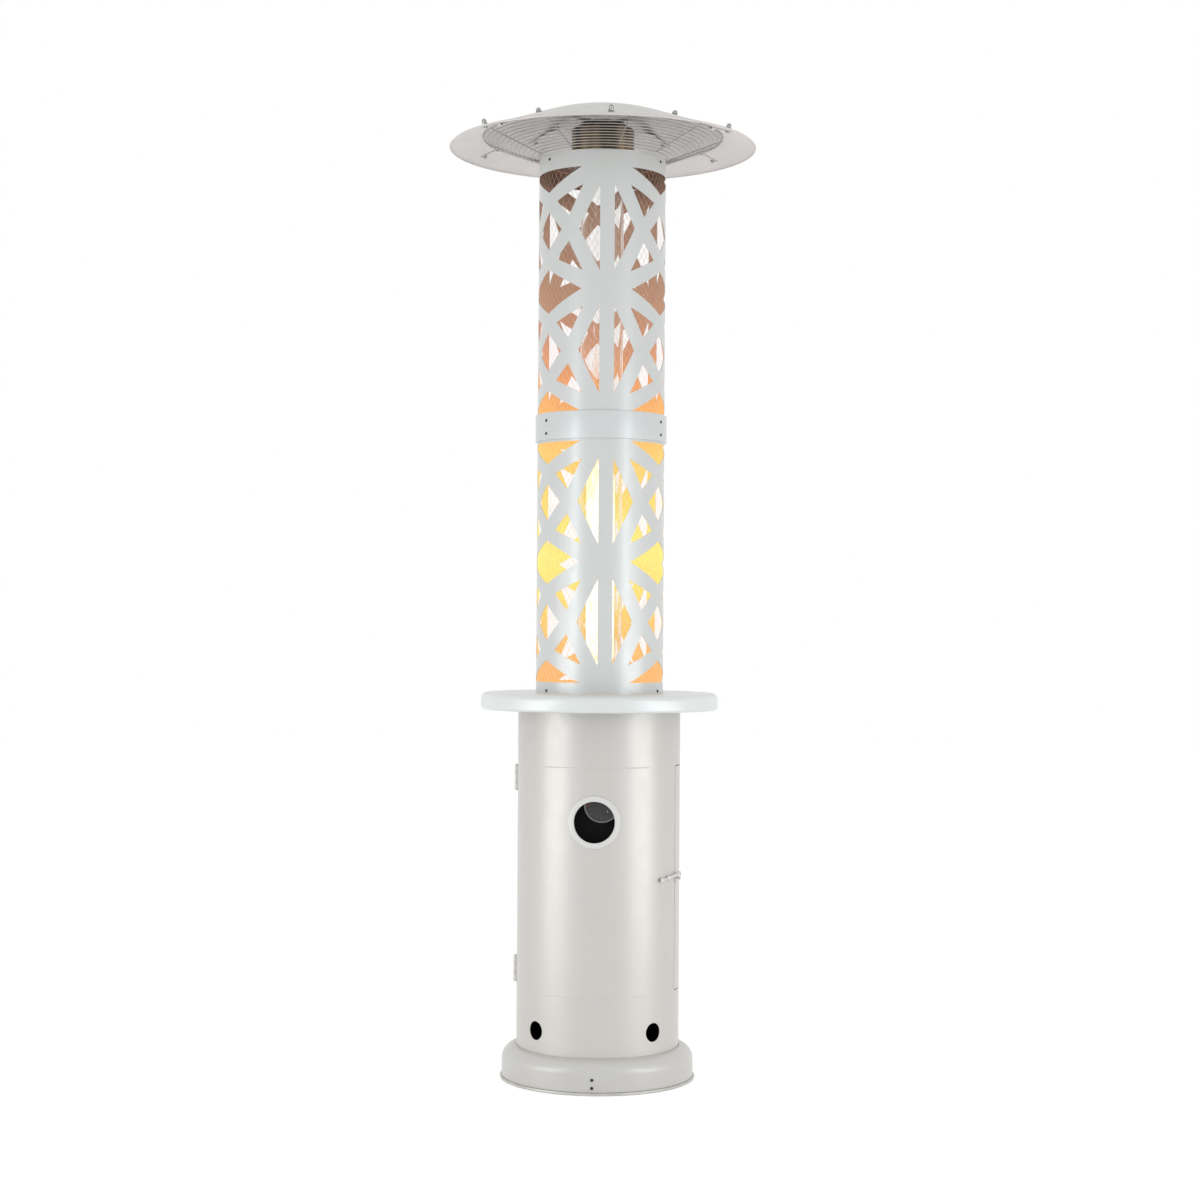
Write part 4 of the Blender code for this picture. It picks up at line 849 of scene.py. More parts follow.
def heat_tint_group():
    """Straw, brown and blue oxide colours that heat leaves on bright steel, by height, kept dark as
    a painted reflection of dark surroundings.
    """
    inputs = [("Bright", (0.5, 0.46, 0.40)), ("Low", 1.90), ("High", 1.98), ("Unevenness", 0.2)]
    tree, entry, ending = node_group("Heat tint", inputs, [("Colour", "colour")])
    height = work_out(tree, "SUBTRACT", coordinates(tree)[2], entry["Low"])
    reach = work_out(tree, "SUBTRACT", entry["High"], entry["Low"])
    share = work_out(tree, "DIVIDE", height, reach)
    swing = work_out(tree, "SUBTRACT", cloud(tree, 26.0, 3.0), 0.5)
    swing = work_out(tree, "MULTIPLY", swing, entry["Unevenness"])
    share = work_out(tree, "ADD", share, swing, clamp=True)
    tint = colour_ramp(tree, share, HEAT_STOPS)
    tree.links.new(blended(tree, 0.85, entry["Bright"], tint), ending["Colour"])
    return tree


def colour_ramp(tree, value, stops):
    """A ramp through the stops of a share and a colour."""
    node = add_node(tree, "ShaderNodeValToRGB", {0: value})
    marks = node.color_ramp.elements
    while len(marks) < len(stops):
        marks.new(0.5)
    for mark, (share, colour) in zip(marks, stops):
        mark.position = share
        mark.color = (*colour, 1)
    return node.outputs[0]


def flame_glow_group():
    """Painted flame light: the colour that the flame throws on what surrounds it, by height, for
    use as emission.
    """
    inputs = [("Strength", 1.0), ("Flicker", 0.1)]
    tree, entry, ending = node_group("Flame glow", inputs, [("Colour", "colour")])
    share = span(tree, coordinates(tree)[2], GLOW_LOW_Z, GLOW_HIGH_Z)
    reach = GLOW_HIGH_Z - GLOW_LOW_Z
    stops = [((height - GLOW_LOW_Z) / reach, colour) for height, colour in GLOW_STOPS]
    glow = colour_ramp(tree, share, stops)
    swing = work_out(tree, "SUBTRACT", cloud(tree, 7.0, 2.0), 0.5)
    swing = work_out(tree, "MULTIPLY", swing, entry["Flicker"])
    factor = work_out(tree, "ADD", entry["Strength"], swing)
    tree.links.new(scaled_colour(tree, glow, factor), ending["Colour"])
    return tree


PAINT_SKIN = paint_skin_group()
FINISH_DRIFT = finish_drift_group()
HANDLING_WEAR = wear_group()
SETTLED_DIRT = settled_dirt_group()
TURNED_GRAIN = turned_grain_group()
HEAT_TINT = heat_tint_group()
FLAME_GLOW = flame_glow_group()


def use_group(tree, group, **values):
    """Places a group with its own values. Underscores stand for spaces."""
    node = tree.nodes.new("ShaderNodeGroup")
    node.node_tree = group
    for name, value in values.items():
        set_socket(tree, node.inputs[name.replace("_", " ")], value)
    return node.outputs


def new_finish(name, colour, metallic=0.0, **sockets):
    """A material, its tree and its Principled shader."""
    material = bpy.data.materials.new(name)
    material.use_nodes = True
    material.diffuse_color = (*colour, 1)
    tree = material.node_tree
    shader = tree.nodes["Principled BSDF"]
    shader.inputs["Metallic"].default_value = metallic
    for socket, value in sockets.items():
        shader.inputs[socket.replace("_", " ")].default_value = value
    return material, tree, shader


def raise_bump(tree, shader, height, distance, strength=1.0):
    """Sends a height to the shader's normal."""
    inputs = {"Height": height, "Distance": distance, "Strength": strength}
    bump = add_node(tree, "ShaderNodeBump", inputs)
    tree.links.new(bump.outputs[0], shader.inputs["Normal"])


# Materials

DIRT_BROWN = (0.30, 0.26, 0.21)
DUST_GREY = (0.62, 0.60, 0.56)


def crease_height(tree, heights, half_width, half_angle):
    """Shallow level grooves on the front of the cabinet, where its sheet was creased."""
    x, y, z = coordinates(tree)
    groove = 0.0
    for height in heights:
        away = work_out(tree, "ABSOLUTE", work_out(tree, "SUBTRACT", z, height))
        line = span(tree, away, 0.0, half_width, 1, 0)
        groove = work_out(tree, "ADD", groove, line)
    ahead = work_out(tree, "MULTIPLY", y, -1)
    aside = work_out(tree, "ABSOLUTE", work_out(tree, "ARCTAN2", x, ahead))
    front = span(tree, aside, radians(half_angle - 4), radians(half_angle), 1, 0)
    return work_out(tree, "MULTIPLY", groove, front)


def paint(name, colour, roughness, pearl=0.0, drift=0.01, splashes=0.0, dust=0.0, creases=()):
    """Sprayed and baked paint under a thin clear coat. Pearl is its share of metal flake."""
    material, tree, shader = new_finish(name, colour, pearl, Coat_Roughness=0.12)
    shader.inputs["Coat Weight"].default_value = 0.12
    base = use_group(
        tree,
        FINISH_DRIFT,
        Colour=colour,
        Drift=drift,
        Patches_per_metre=7.0,
        Roughness=roughness,
        Roughness_drift=0.03,
    )
    wear = use_group(tree, HANDLING_WEAR, Scratches=0.05, Smudges=0.15)
    dirt_and_tone = use_group(tree, SETTLED_DIRT, Splash_height=0.09, Splashes=splashes, Dust=dust)
    shade = blended(tree, wear["Scratch mask"], base["Colour"], tuple(c * 0.8 for c in colour))
    shade = blended(tree, dirt_and_tone["Splash mask"], shade, DIRT_BROWN)
    shade = blended(tree, dirt_and_tone["Dust mask"], shade, DUST_GREY)
    tree.links.new(shade, shader.inputs["Base Color"])
    dull = work_out(tree, "MULTIPLY", wear["Smudge mask"], 0.10)
    dull = work_out(tree, "ADD", base["Roughness"], dull)
    dull = work_out(tree, "ADD", dull, work_out(tree, "MULTIPLY", dirt_and_tone["Dust mask"], 0.5))
    dull = work_out(tree, "ADD", dull, work_out(tree, "MULTIPLY", dirt_and_tone["Splash mask"], 0.5))
    tree.links.new(dull, shader.inputs["Roughness"])
    skin = use_group(tree, PAINT_SKIN, Waves_per_metre=380.0, Depth=0.5, Specks=0.05)
    height = work_out(tree, "MULTIPLY", skin["Height"], 0.00002)
    if creases:
        groove = work_out(tree, "MULTIPLY", crease_height(tree, *creases), -0.00035)
        height = work_out(tree, "ADD", height, groove)
    raise_bump(tree, shader, height, 1.0)
    return material


def handle(tree, shader, base, light, scratches, smudges, dulling):
    """Rubbed lines in a lighter colour, and smudges that change the gloss."""
    wear = use_group(tree, HANDLING_WEAR, Scratches=scratches, Smudges=smudges)
    shade = blended(tree, wear["Scratch mask"], base["Colour"], light)
    tree.links.new(shade, shader.inputs["Base Color"])
    dull = work_out(tree, "MULTIPLY", wear["Smudge mask"], dulling)
    tree.links.new(work_out(tree, "ADD", base["Roughness"], dull), shader.inputs["Roughness"])


def metal(name, colour, roughness, drift=0.05, rings=0.0, depth=0.00001, scratches=0.3):
    """Bare or plated metal with turned rings, smudges and rubbed lines."""
    material, tree, shader = new_finish(name, colour, 1.0)
    base = use_group(
        tree,
        FINISH_DRIFT,
        Colour=colour,
        Drift=drift,
        Patches_per_metre=30.0,
        Roughness=roughness,
        Roughness_drift=0.06,
    )
    light = tuple(min(c * 1.25, 1.0) for c in colour)
    handle(tree, shader, base, light, scratches, 0.4, 0.12)
    if rings:
        grain = use_group(tree, TURNED_GRAIN, Rings_per_metre=rings, Depth=1.0)
        height = work_out(tree, "MULTIPLY", grain["Height"], depth)
    else:
        height = work_out(tree, "MULTIPLY", cloud(tree, 500.0, 3.0), depth)
    raise_bump(tree, shader, height, 1.0)
    return material


def sleeve_inside():
    """The sleeves' inner side: dark brown metal with the flame's light painted on as emission, by
    height.
    """
    brown_tone = (0.10, 0.065, 0.045)
    material, tree, shader = new_finish("sleeve_inside", brown_tone, 0.0)
    base = use_group(
        tree, FINISH_DRIFT, Colour=brown_tone, Drift=0.25, Roughness=0.62, Roughness_drift=0.08
    )
    tree.links.new(base["Colour"], shader.inputs["Base Color"])
    tree.links.new(base["Roughness"], shader.inputs["Roughness"])
    # Painted flame light: an emission that follows the flame's height.
    glow = use_group(tree, FLAME_GLOW, Strength=1.0, Flicker=0.25)
    tree.links.new(glow["Colour"], shader.inputs["Emission Color"])
    shader.inputs["Emission Strength"].default_value = 0.9
    raise_bump(tree, shader, cloud(tree, 300.0, 3.0), 0.00004)
    return material


def mesh_metal(name, zinc, warmth, strength):
    """Galvanised expanded metal with the flame's light painted on as emission, most of it low down,
    where its base colour also turns dark brown.
    """
    material, tree, shader = new_finish(name, zinc, 0.15)
    base = use_group(
        tree,
        FINISH_DRIFT,
        Colour=zinc,
        Drift=0.12,
        Patches_per_metre=60.0,
        Roughness=0.42,
        Roughness_drift=0.1,
    )
    tree.links.new(base["Roughness"], shader.inputs["Roughness"])
    z = coordinates(tree)[2]
    # Low down the base colour turns dark brown, by warmth.
    brown_tone = span(tree, z, 1.25, 1.60, warmth, 0.0)
    shade = blended(tree, brown_tone, base["Colour"], (0.20, 0.10, 0.07))
    tree.links.new(shade, shader.inputs["Base Color"])
    # Painted flame light: pink and flame-coloured emission, strongest low down.
    share = span(tree, z, 1.30, 1.60, 1.0, 0.3)
    glow = use_group(tree, FLAME_GLOW, Strength=share, Flicker=0.1)
    pink = work_out(tree, "MULTIPLY", work_out(tree, "MULTIPLY", share, warmth), 0.75)
    warm = blended(tree, pink, glow["Colour"], (1.0, 0.36, 0.21))
    tree.links.new(warm, shader.inputs["Emission Color"])
    shader.inputs["Emission Strength"].default_value = strength
    raise_bump(tree, shader, cloud(tree, 900.0, 2.0), 0.00005)
    return material


def emitter_metal(name, bright, low, high, roughness):
    """Steel coloured by heat, with the rings of its spinning."""
    material, tree, shader = new_finish(name, bright, 1.0)
    tint = use_group(tree, HEAT_TINT, Bright=bright, Low=low, High=high, Unevenness=0.3)
    runs = cloud(tree, 1.0, 2.0, stretched(tree, (34, 34, 2.5)), 0.4)
    runs = span(tree, runs, 0.40, 0.66, 0.45, 2.0)
    shade = scaled_colour(tree, tint["Colour"], runs)
    tree.links.new(shade, shader.inputs["Base Color"])
    base = use_group(
        tree, FINISH_DRIFT, Colour=bright, Roughness=roughness, Roughness_drift=0.05
    )
    tree.links.new(base["Roughness"], shader.inputs["Roughness"])
    grain = use_group(tree, TURNED_GRAIN, Rings_per_metre=1100.0, Depth=1.0)
    raise_bump(tree, shader, grain["Height"], 0.00001)
    return material


def reflector_metal():
    """Satin aluminium spun to shape: rings, faint waves and a greener tone on what faces up."""
    bright = (0.66, 0.63, 0.615)
    material, tree, shader = new_finish("reflector_satin", bright, 0.75)
    base = use_group(
        tree,
        FINISH_DRIFT,
        Colour=bright,
        Drift=0.03,
        Patches_per_metre=12.0,
        Roughness=0.50,
        Roughness_drift=0.04,
    )
    grain = use_group(tree, TURNED_GRAIN, Rings_per_metre=700.0, Depth=1.0)
    # The dust mask only sets where the greener tone of the upward faces goes.
    dirt_and_tone = use_group(tree, SETTLED_DIRT, Splashes=0.0, Dust=0.9)
    shade = blended(tree, dirt_and_tone["Dust mask"], base["Colour"], (0.55, 0.575, 0.545))
    tree.links.new(shade, shader.inputs["Base Color"])
    dull = work_out(tree, "MULTIPLY", grain["Streaks"], 0.08)
    tree.links.new(work_out(tree, "ADD", base["Roughness"], dull), shader.inputs["Roughness"])
    waves = work_out(tree, "MULTIPLY", cloud(tree, 14.0, 1.0), 0.00015)
    rings = work_out(tree, "MULTIPLY", grain["Height"], 0.00001)
    raise_bump(tree, shader, work_out(tree, "ADD", waves, rings), 1.0)
    return material


def clear_glass():
    """The flame tube's glass, with a faint haze of its own."""
    material, tree, shader = new_finish("tube_glass", (0.97, 0.98, 0.975), 0.0)
    shader.inputs["Transmission Weight"].default_value = 1.0
    shader.inputs["IOR"].default_value = 1.47
    haze = span(tree, cloud(tree, 18.0, 3.0), 0.45, 0.8, 0.01, 0.05)
    tree.links.new(haze, shader.inputs["Roughness"])
    patches = span(tree, cloud(tree, 6.0, 1.0), 0.3, 0.7)
    tint = blended(tree, patches, (0.98, 0.985, 0.98), (0.95, 0.965, 0.955))
    tree.links.new(tint, shader.inputs["Base Color"])
    raise_bump(tree, shader, cloud(tree, 9.0, 1.0), 0.0003)
    return material


def flame_finish(name, stops, strength, low, high, soft):
    """Burning gas: colour by height and streaks that let some of it through."""
    material, tree, shader = new_finish(name, stops[0][1], 0.0, Roughness=1.0)
    shader.inputs["Base Color"].default_value = (0, 0, 0, 1)
    shader.inputs["Specular IOR Level"].default_value = 0.0
    share = span(tree, coordinates(tree)[2], low, high)
    streaks = cloud(tree, 1.0, 3.0, stretched(tree, (55, 55, 7)), 0.8)
    swing = work_out(tree, "MULTIPLY", work_out(tree, "SUBTRACT", streaks, 0.5), 0.12)
    share = work_out(tree, "ADD", share, swing, clamp=True)
    tree.links.new(colour_ramp(tree, share, stops), shader.inputs["Emission Color"])
    shader.inputs["Emission Strength"].default_value = strength
    fade = work_out(tree, "MULTIPLY", span(tree, share, 0.75, 1.0, 1, 0), soft)
    clear = work_out(tree, "MULTIPLY", span(tree, streaks, 0.35, 0.6), fade)
    tree.links.new(clear, shader.inputs["Alpha"])
    return material


def plastic(name, colour, roughness, sheen=0.5):
    """Moulded plastic or enamel with a fine grain. Its specular level is the stated sheen."""
    material, tree, shader = new_finish(name, colour, Specular_IOR_Level=sheen)
    base = use_group(
        tree,
        FINISH_DRIFT,
        Colour=colour,
        Drift=0.06,
        Patches_per_metre=40.0,
        Roughness=roughness,
        Roughness_drift=0.05,
    )
    light = tuple(min(c * 1.6 + 0.01, 1.0) for c in colour)
    handle(tree, shader, base, light, 0.4, 0.5, -0.1)
    raise_bump(tree, shader, cloud(tree, 2600.0, 2.0), 0.00003)
    return material


CREASES = ((DOOR_BOTTOM_Z, DOOR_TOP_Z), 0.0011, 42)
HOUSING_PAINT = paint("pearl_paint", (0.58, 0.56, 0.53), 0.40, 0.33, splashes=0.08, creases=CREASES)
FITTING_PAINT = paint("fitting_paint", (0.64, 0.63, 0.60), 0.32, 0.20)
SKIRT_PAINT = paint("skirt_paint", (0.57, 0.56, 0.53), 0.38, 0.15, splashes=0.06, dust=0.05)
TABLE_PAINT = paint("table_paint", (0.71, 0.74, 0.73), 0.37, 0.15, dust=0.08)
SLEEVE_PAINT = paint("sleeve_paint", (0.62, 0.635, 0.62), 0.36, 0.28)
BAND_PAINT = paint("band_paint", (0.62, 0.64, 0.635), 0.36, 0.28)
RING_PAINT = paint("ring_paint", (0.67, 0.665, 0.645), 0.37, 0.15)
BASE_METAL = metal("base_metal", (0.50, 0.49, 0.465), 0.42, 0.08, 500.0, 0.00003)
ZINC = metal("zinc_steel", (0.66, 0.665, 0.67), 0.30, 0.06)
CHROME = metal("bright_steel", (0.66, 0.66, 0.66), 0.12, 0.03)
# The nuts' chrome is darker than real chrome: a painted reflection of dark surroundings, so that
# they stand out against the reflector.
NUT_CHROME = metal("nut_chrome", (0.36, 0.36, 0.355), 0.10, 0.03)
BEZEL_METAL = metal("bezel_metal", (0.14, 0.14, 0.138), 0.30, 0.05)
DARK_SCREW = metal("dark_screw", (0.045, 0.042, 0.040), 0.40, 0.1)
GRILLE_WIRE = metal("grille_wire", (0.38, 0.37, 0.36), 0.38, 0.10, depth=0.00002)
SPOKE_WIRE = metal("spoke_wire", (0.33, 0.32, 0.31), 0.38, 0.10, depth=0.00002)
BRASS = metal("brass", (0.62, 0.44, 0.19), 0.28, 0.08)
BURNER_METAL = metal("burner_metal", (0.16, 0.145, 0.13), 0.50, 0.2, depth=0.00006)
EMITTER_METAL = emitter_metal("heat_tinted_steel", (0.46, 0.36, 0.24), 1.897, 1.972, 0.16)
CAP_METAL = emitter_metal("cap_steel", (0.14, 0.11, 0.09), 1.90, 1.975, 0.30)
REFLECTOR_METAL = reflector_metal()
SLEEVE_INSIDE = sleeve_inside()
# Both sides of the expanded metal carry painted flame light as emission.
MESH_OUTSIDE = mesh_metal("expanded_metal", (0.86, 0.80, 0.76), 0.15, 0.55)
MESH_INSIDE = mesh_metal("expanded_metal_inside", (0.44, 0.37, 0.35), 1.0, 0.70)
TUBE_GLASS = clear_glass()
CORE_STOPS = (
    (0.0, (1.0, 0.72, 0.30)),
    (0.12, (1.0, 0.93, 0.72)),
    (0.55, (1.0, 0.95, 0.80)),
    (0.85, (1.0, 0.80, 0.42)),
    (1.0, (1.0, 0.52, 0.20)),
)
VEIL_STOPS = (
    (0.0, (1.0, 0.60, 0.18)),
    (0.45, (1.0, 0.84, 0.34)),
    (0.75, (1.0, 0.50, 0.15)),
    (1.0, (0.9, 0.25, 0.08)),
)
FLAME_CORE = flame_finish("flame_core", CORE_STOPS, 2.4, FLAME_GLOW_FOOT_Z, CORE_FADE_Z, 1.0)
FLAME_VEIL = flame_finish("flame_veil", VEIL_STOPS, 0.9, FLAME_GLOW_FOOT_Z, VEIL_TOP_Z, 0.45)
# Black enamel, darker and duller than real enamel: painted shade for the unlit inside of the
# cabinet, on the control box and on the inner side of the cabinet sheet and door.
BLACK_ENAMEL_AND_SHADE = plastic("black_enamel_and_shade", (0.007, 0.007, 0.007), 0.62, 0.2)
KNOB_PLASTIC = plastic("knob_plastic", (0.024, 0.026, 0.024), 0.36)
MARK_WHITE = plastic("mark_white", (0.75, 0.75, 0.73), 0.45)
MARK_GREY = plastic("mark_grey", (0.07, 0.073, 0.07), 0.45)
MARK_RED = plastic("mark_red", (0.26, 0.020, 0.018), 0.45)


# Base and cabinet


def make_base():
    half = BASE_THICKNESS / 2
    path = [(0, BASE_THICKNESS), (BASE_RADIUS, BASE_THICKNESS, half * 0.7)]
    path += [(BASE_RADIUS, 0, half * 0.7), (0, 0)]
    plate = turned("base_plate_edge", rounded(path), BASE_METAL)
    settle(plate, "heater", "base_metal", "base_plate")

    inner = HOUSING_RADIUS + SKIRT_CLEARANCE
    foot = BASE_THICKNESS + GAP
    path = []
    for step in range(SHOULDER_STEPS + 1):
        angle = pi / 2 * step / SHOULDER_STEPS
        radius = inner + (SKIRT_RADIUS - inner) * sin(angle)
        z = SKIRT_SHOULDER_Z + (SKIRT_TOP_Z - SKIRT_SHOULDER_Z) * cos(angle)
        path.append(Vector((radius, z)))
    path += to_points([(SKIRT_RADIUS, foot + SKIRT_HEM), (SKIRT_RADIUS, foot)])
    skirt = turned("skirt_shell", walled(path, SHEET_WALL), SKIRT_PAINT)
    settle(skirt, "heater", "pearl_paint", "base_skirt")

    head = screw_mesh(**SKIRT_SCREW)
    for number, z in enumerate(SKIRT_SCREW_ZS, 1):
        screw = link(f"skirt_screw_{number}", head.copy(), DARK_SCREW)
        screw.matrix_world = on_wall(SKIRT_RADIUS, 0, z) @ Matrix.Rotation(0.4 * number, 4, "Z")
        settle(screw, "heater", "zinc_steel", f"base_screw_{number}")


def make_housing():
    radius = HOUSING_RADIUS
    start = radians(ROLL_START_AZ) * radius
    end = radians(ROLL_START_AZ + 360) * radius
    top = TABLE_TOP_Z - TABLE_WALL - GAP
    outline = rectangle(start, BASE_THICKNESS + GAP, end, top)
    doorway = rectangle(
        radians(DOOR_LATCH_AZ) * radius,
        DOOR_BOTTOM_Z,
        radians(DOOR_HINGE_AZ) * radius + DOOR_GAP / 2,
        DOOR_TOP_Z,
        DOOR_CORNER,
    )
    holes = [doorway, circle(2 * pi * radius, PORT_Z, PORT_RADIUS)]
    holes += [circle(radians(az) * radius, VENT_Z, VENT_RADIUS, 48) for az in VENT_AZIMUTHS]
    mesh = rolled_mesh([outline] + holes, radius, SHEET_WALL)
    # The cabinet sheet's inner side is black: painted shade for the unlit inside of the cabinet.
    shell = link("cabinet_shell", mesh, HOUSING_PAINT, BLACK_ENAMEL_AND_SHADE)
    settle(shell, "heater", "pearl_paint", "housing_shell")

    edge = PORT_RING_WALL
    path = [
        (PORT_RADIUS, 0),
        (PORT_RADIUS, edge, 0.0009),
        (PORT_RING_RADIUS, edge, 0.0007),
        (PORT_RING_RADIUS, edge * 0.55, 0.0002),
        (PORT_RING_RADIUS - PORT_RING_STEP, edge * 0.4),
        (PORT_RING_RADIUS - PORT_RING_STEP, 0),
    ]
    mesh = turned_mesh(rounded(path, 4), 96)
    for vert in mesh.vertices:
        x, y, out = vert.co
        vert.co = polar(radius + GAP / 3 + out, degrees(x / radius), PORT_Z + y)
    mesh.set_sharp_from_angle(angle=radians(50))
    settle(link("port_rim", mesh, RING_PAINT), "heater", "table_paint", "port_ring")


def hinge_axis(z=0.0):
    """A point on the hinges' axis."""
    return polar(HOUSING_RADIUS + GAP + BARREL_RADIUS, DOOR_HINGE_AZ, z)


def make_door():
    radius = HOUSING_RADIUS
    start = radians(DOOR_LATCH_AZ) * radius + DOOR_GAP
    end = radians(DOOR_HINGE_AZ) * radius - DOOR_GAP / 2
    low, high = DOOR_BOTTOM_Z + DOOR_GAP, DOOR_TOP_Z - DOOR_GAP
    outline = rectangle(start, low, end, high, DOOR_CORNER - DOOR_GAP)
    mesh = rolled_mesh([outline], radius, SHEET_WALL)
    # The door's inner side is black: painted shade for the unlit inside of the cabinet.
    door = link("door_panel", mesh, HOUSING_PAINT, BLACK_ENAMEL_AND_SHADE)
    settle(door, "door", "pearl_paint", "cabinet_door")


def knuckle(low, high):
    """A rolled knuckle with its bore, round the hinge axis."""
    bore, outside = BARREL_BORE, BARREL_RADIUS
    path = [(bore, low), (outside, low, 0.0004), (outside, high, 0.0004), (bore, high)]
    return turned_mesh(rounded(path, 3), 32)


def leaf_mesh(direction, spans, head):
    """A hinge leaf with rounded corners, three screws, and a knuckle for each span of heights."""
    low, high = -HINGE_HEIGHT / 2, HINGE_HEIGHT / 2
    near, far = BARREL_RADIUS * 1.15, HINGE_LEAF_WIDTH
    corner = HINGE_LEAF_CORNER
    path = [(near, low), (far, low, corner), (far, high, corner), (near, high)]
    outline = [tuple(point) for point in rounded(path)]
    for bottom, top in reversed(spans):
        if top < high:
            outline.append((near, top))
        outline += [(KNUCKLE_ROOT, top), (KNUCKLE_ROOT, bottom)]
        if bottom > low:
            outline.append((near, bottom))
    outline = [(direction * x, y) for x, y in outline]
    leaf = plate_mesh([outline], HINGE_LEAF_WALL, 0.0002)
    heads = []
    for x, y in LEAF_SCREW_PLACES:
        spin = Matrix.Rotation(x * 90 + y * 60, 4, "Z")
        heads.append((head, Matrix.Translation((direction * x, y, HINGE_LEAF_WALL)) @ spin))
    return joined([(leaf, STAY)] + heads)


def make_hinges():
    head = screw_mesh(**LEAF_SCREW)
    half = HINGE_HEIGHT / 2
    inner = MIDDLE_KNUCKLE / 2
    kinds = (
        ("shell_leaf", "heater", 1, [(-half, -inner - GAP), (inner + GAP, half)]),
        ("door_leaf", "door", -1, [(-inner, inner)]),
    )
    for name, middle in zip(("lower", "upper"), HINGE_ZS):
        for kind, body, direction, spans in kinds:
            leaf = leaf_mesh(direction, spans, head)
            flat = wrapped(leaf, HOUSING_RADIUS + GAP / 3, DOOR_HINGE_AZ, middle)
            pairs = [(flat, STAY)]
            pairs += [(knuckle(*run), Matrix.Translation(hinge_axis(middle))) for run in spans]
            piece = link(f"{name}_{kind}", joined(pairs), FITTING_PAINT)
            settle(piece, body, "zinc_steel", f"{name}_hinge_{kind}")
        end = half + GAP
        far = end + PIN_HEAD_HEIGHT
        path = [(0, far), (PIN_HEAD_RADIUS, far, 0.0009), (PIN_HEAD_RADIUS, end)]
        path += [(PIN_RADIUS, end), (PIN_RADIUS, -end)]
        path += [(PIN_HEAD_RADIUS, -end), (PIN_HEAD_RADIUS, -far, 0.0009), (0, -far)]
        pin = turned(f"{name}_pin", rounded(path, 3), FITTING_PAINT, 32)
        pin.location = hinge_axis(middle)
        settle(pin, "heater", "zinc_steel", f"{name}_hinge_pin")


def hook_outline():
    """The hook level: an eye on the pivot, a finger tab behind it, a bar and a jaw for the peg."""
    half = HOOK_WIDTH / 2
    notch = PEG_RADIUS + HOOK_PLAY
    eye = HOOK_EYE_RADIUS
    reach = LATCH_REACH
    crown = notch + HOOK_CROWN
    neck, tab = HOOK_NECK_WIDTH / 2, TAB_WIDTH / 2
    root = HOOK_TAIL - TAB_LENGTH
    top = [(-eye, neck), (-root, neck, 0.004), (-root - 0.003, tab, 0.003)]
    top += [(-HOOK_TAIL, tab, 0.0038), (-HOOK_TAIL, 0)]
    upper = [(eye * cos(radians(a)), eye * sin(radians(a))) for a in range(38, 152, 15)]
    upper += [tuple(point) for point in rounded(top, 5)]
    outline = upper + [(x, -y) for x, y in reversed(upper[:-1])]
    jaw = [(reach - notch * cos(radians(a)), notch * sin(radians(a))) for a in range(0, 181, 15)]
    near, far = reach - notch, reach + notch
    lip = [(far, 0), (far, -HOOK_LIP_DROP), (far + HOOK_LIP, -HOOK_LIP_DROP, 0.0012)]
    lip += [(far + HOOK_LIP, half, 0.003), (far, crown, 0.003)]
    lip += [(near, crown, 0.003), (near - HOOK_LIP, half, 0.003), (eye + half, half)]
    outline += [(eye + half, -half), (near, -half)] + jaw
    return outline + [tuple(point) for point in rounded(lip, 4)[1:]]


def make_latch():
    place = on_wall(HOUSING_RADIUS, LATCH_AZ, LATCH_Z)
    lifted = Matrix.Rotation(radians(LATCH_REST_ANGLE), 4, "Z")
    raised = Matrix.Translation((0, 0, LATCH_STANDOFF))
    mesh = plate_mesh([hook_outline(), circle(0, 0, HOOK_BORE, 24)], HOOK_THICKNESS, 0.0004)
    hook = link("hook_bar", mesh, FITTING_PAINT)
    hook.matrix_world = place @ lifted @ raised
    settle(hook, "hook", "zinc_steel", "latch_hook")

    above = LATCH_STANDOFF + HOOK_THICKNESS + GAP
    washer = LATCH_STANDOFF - GAP
    high = above + RIVET_HEAD_HEIGHT
    wide = RIVET_HEAD_RADIUS
    path = [(0, high), (0.0026, high, 0.003), (wide, above, 0.0004), (RIVET_RADIUS, above)]
    path += [(RIVET_RADIUS, washer), (wide, washer), (wide, GAP), (0, GAP)]
    rivet = turned("hook_rivet", rounded(path, 5), CHROME, 40)
    rivet.matrix_world = place
    settle(rivet, "heater", "bright_steel", "latch_rivet")

    radius = HOUSING_RADIUS + GAP / 3
    along = LATCH_REACH * cos(radians(PEG_ANGLE))
    up = LATCH_REACH * sin(radians(PEG_ANGLE))
    middle = DOOR_LATCH_AZ + degrees((2 * DOOR_GAP + PEG_PLATE_WIDTH / 2) / radius)
    half, tall = PEG_PLATE_WIDTH / 2, PEG_PLATE_HEIGHT / 2
    plate = plate_mesh([rectangle(-half, -tall, half, tall, 0.003)], PEG_PLATE_WALL, 0.0003)
    head = screw_mesh(**PEG_SCREW)
    spots = [(half - PEG_SCREW_INSET, y, PEG_PLATE_WALL) for y in PEG_SCREW_YS]
    pairs = [(plate, STAY)] + [(head, Matrix.Translation(spot)) for spot in spots]
    flat = wrapped(joined(pairs), radius, middle, LATCH_Z + up)
    root = (radius * radius - along * along) ** 0.5 - HOUSING_RADIUS
    high = above + PEG_HEAD_HEIGHT
    wide = PEG_HEAD_RADIUS
    path = [(0, high), (wide, high, 0.0012), (wide, above, 0.0003)]
    path += [(PEG_RADIUS, above), (PEG_RADIUS, root), (0, root)]
    peg = turned_mesh(rounded(path, 4), 32)
    peg.transform(place @ Matrix.Translation((along, up, 0)))
    whole = joined([(flat, STAY), (peg, STAY)])
    settle(link("peg_plate", whole, FITTING_PAINT), "door", "zinc_steel", "latch_peg")


# Controls


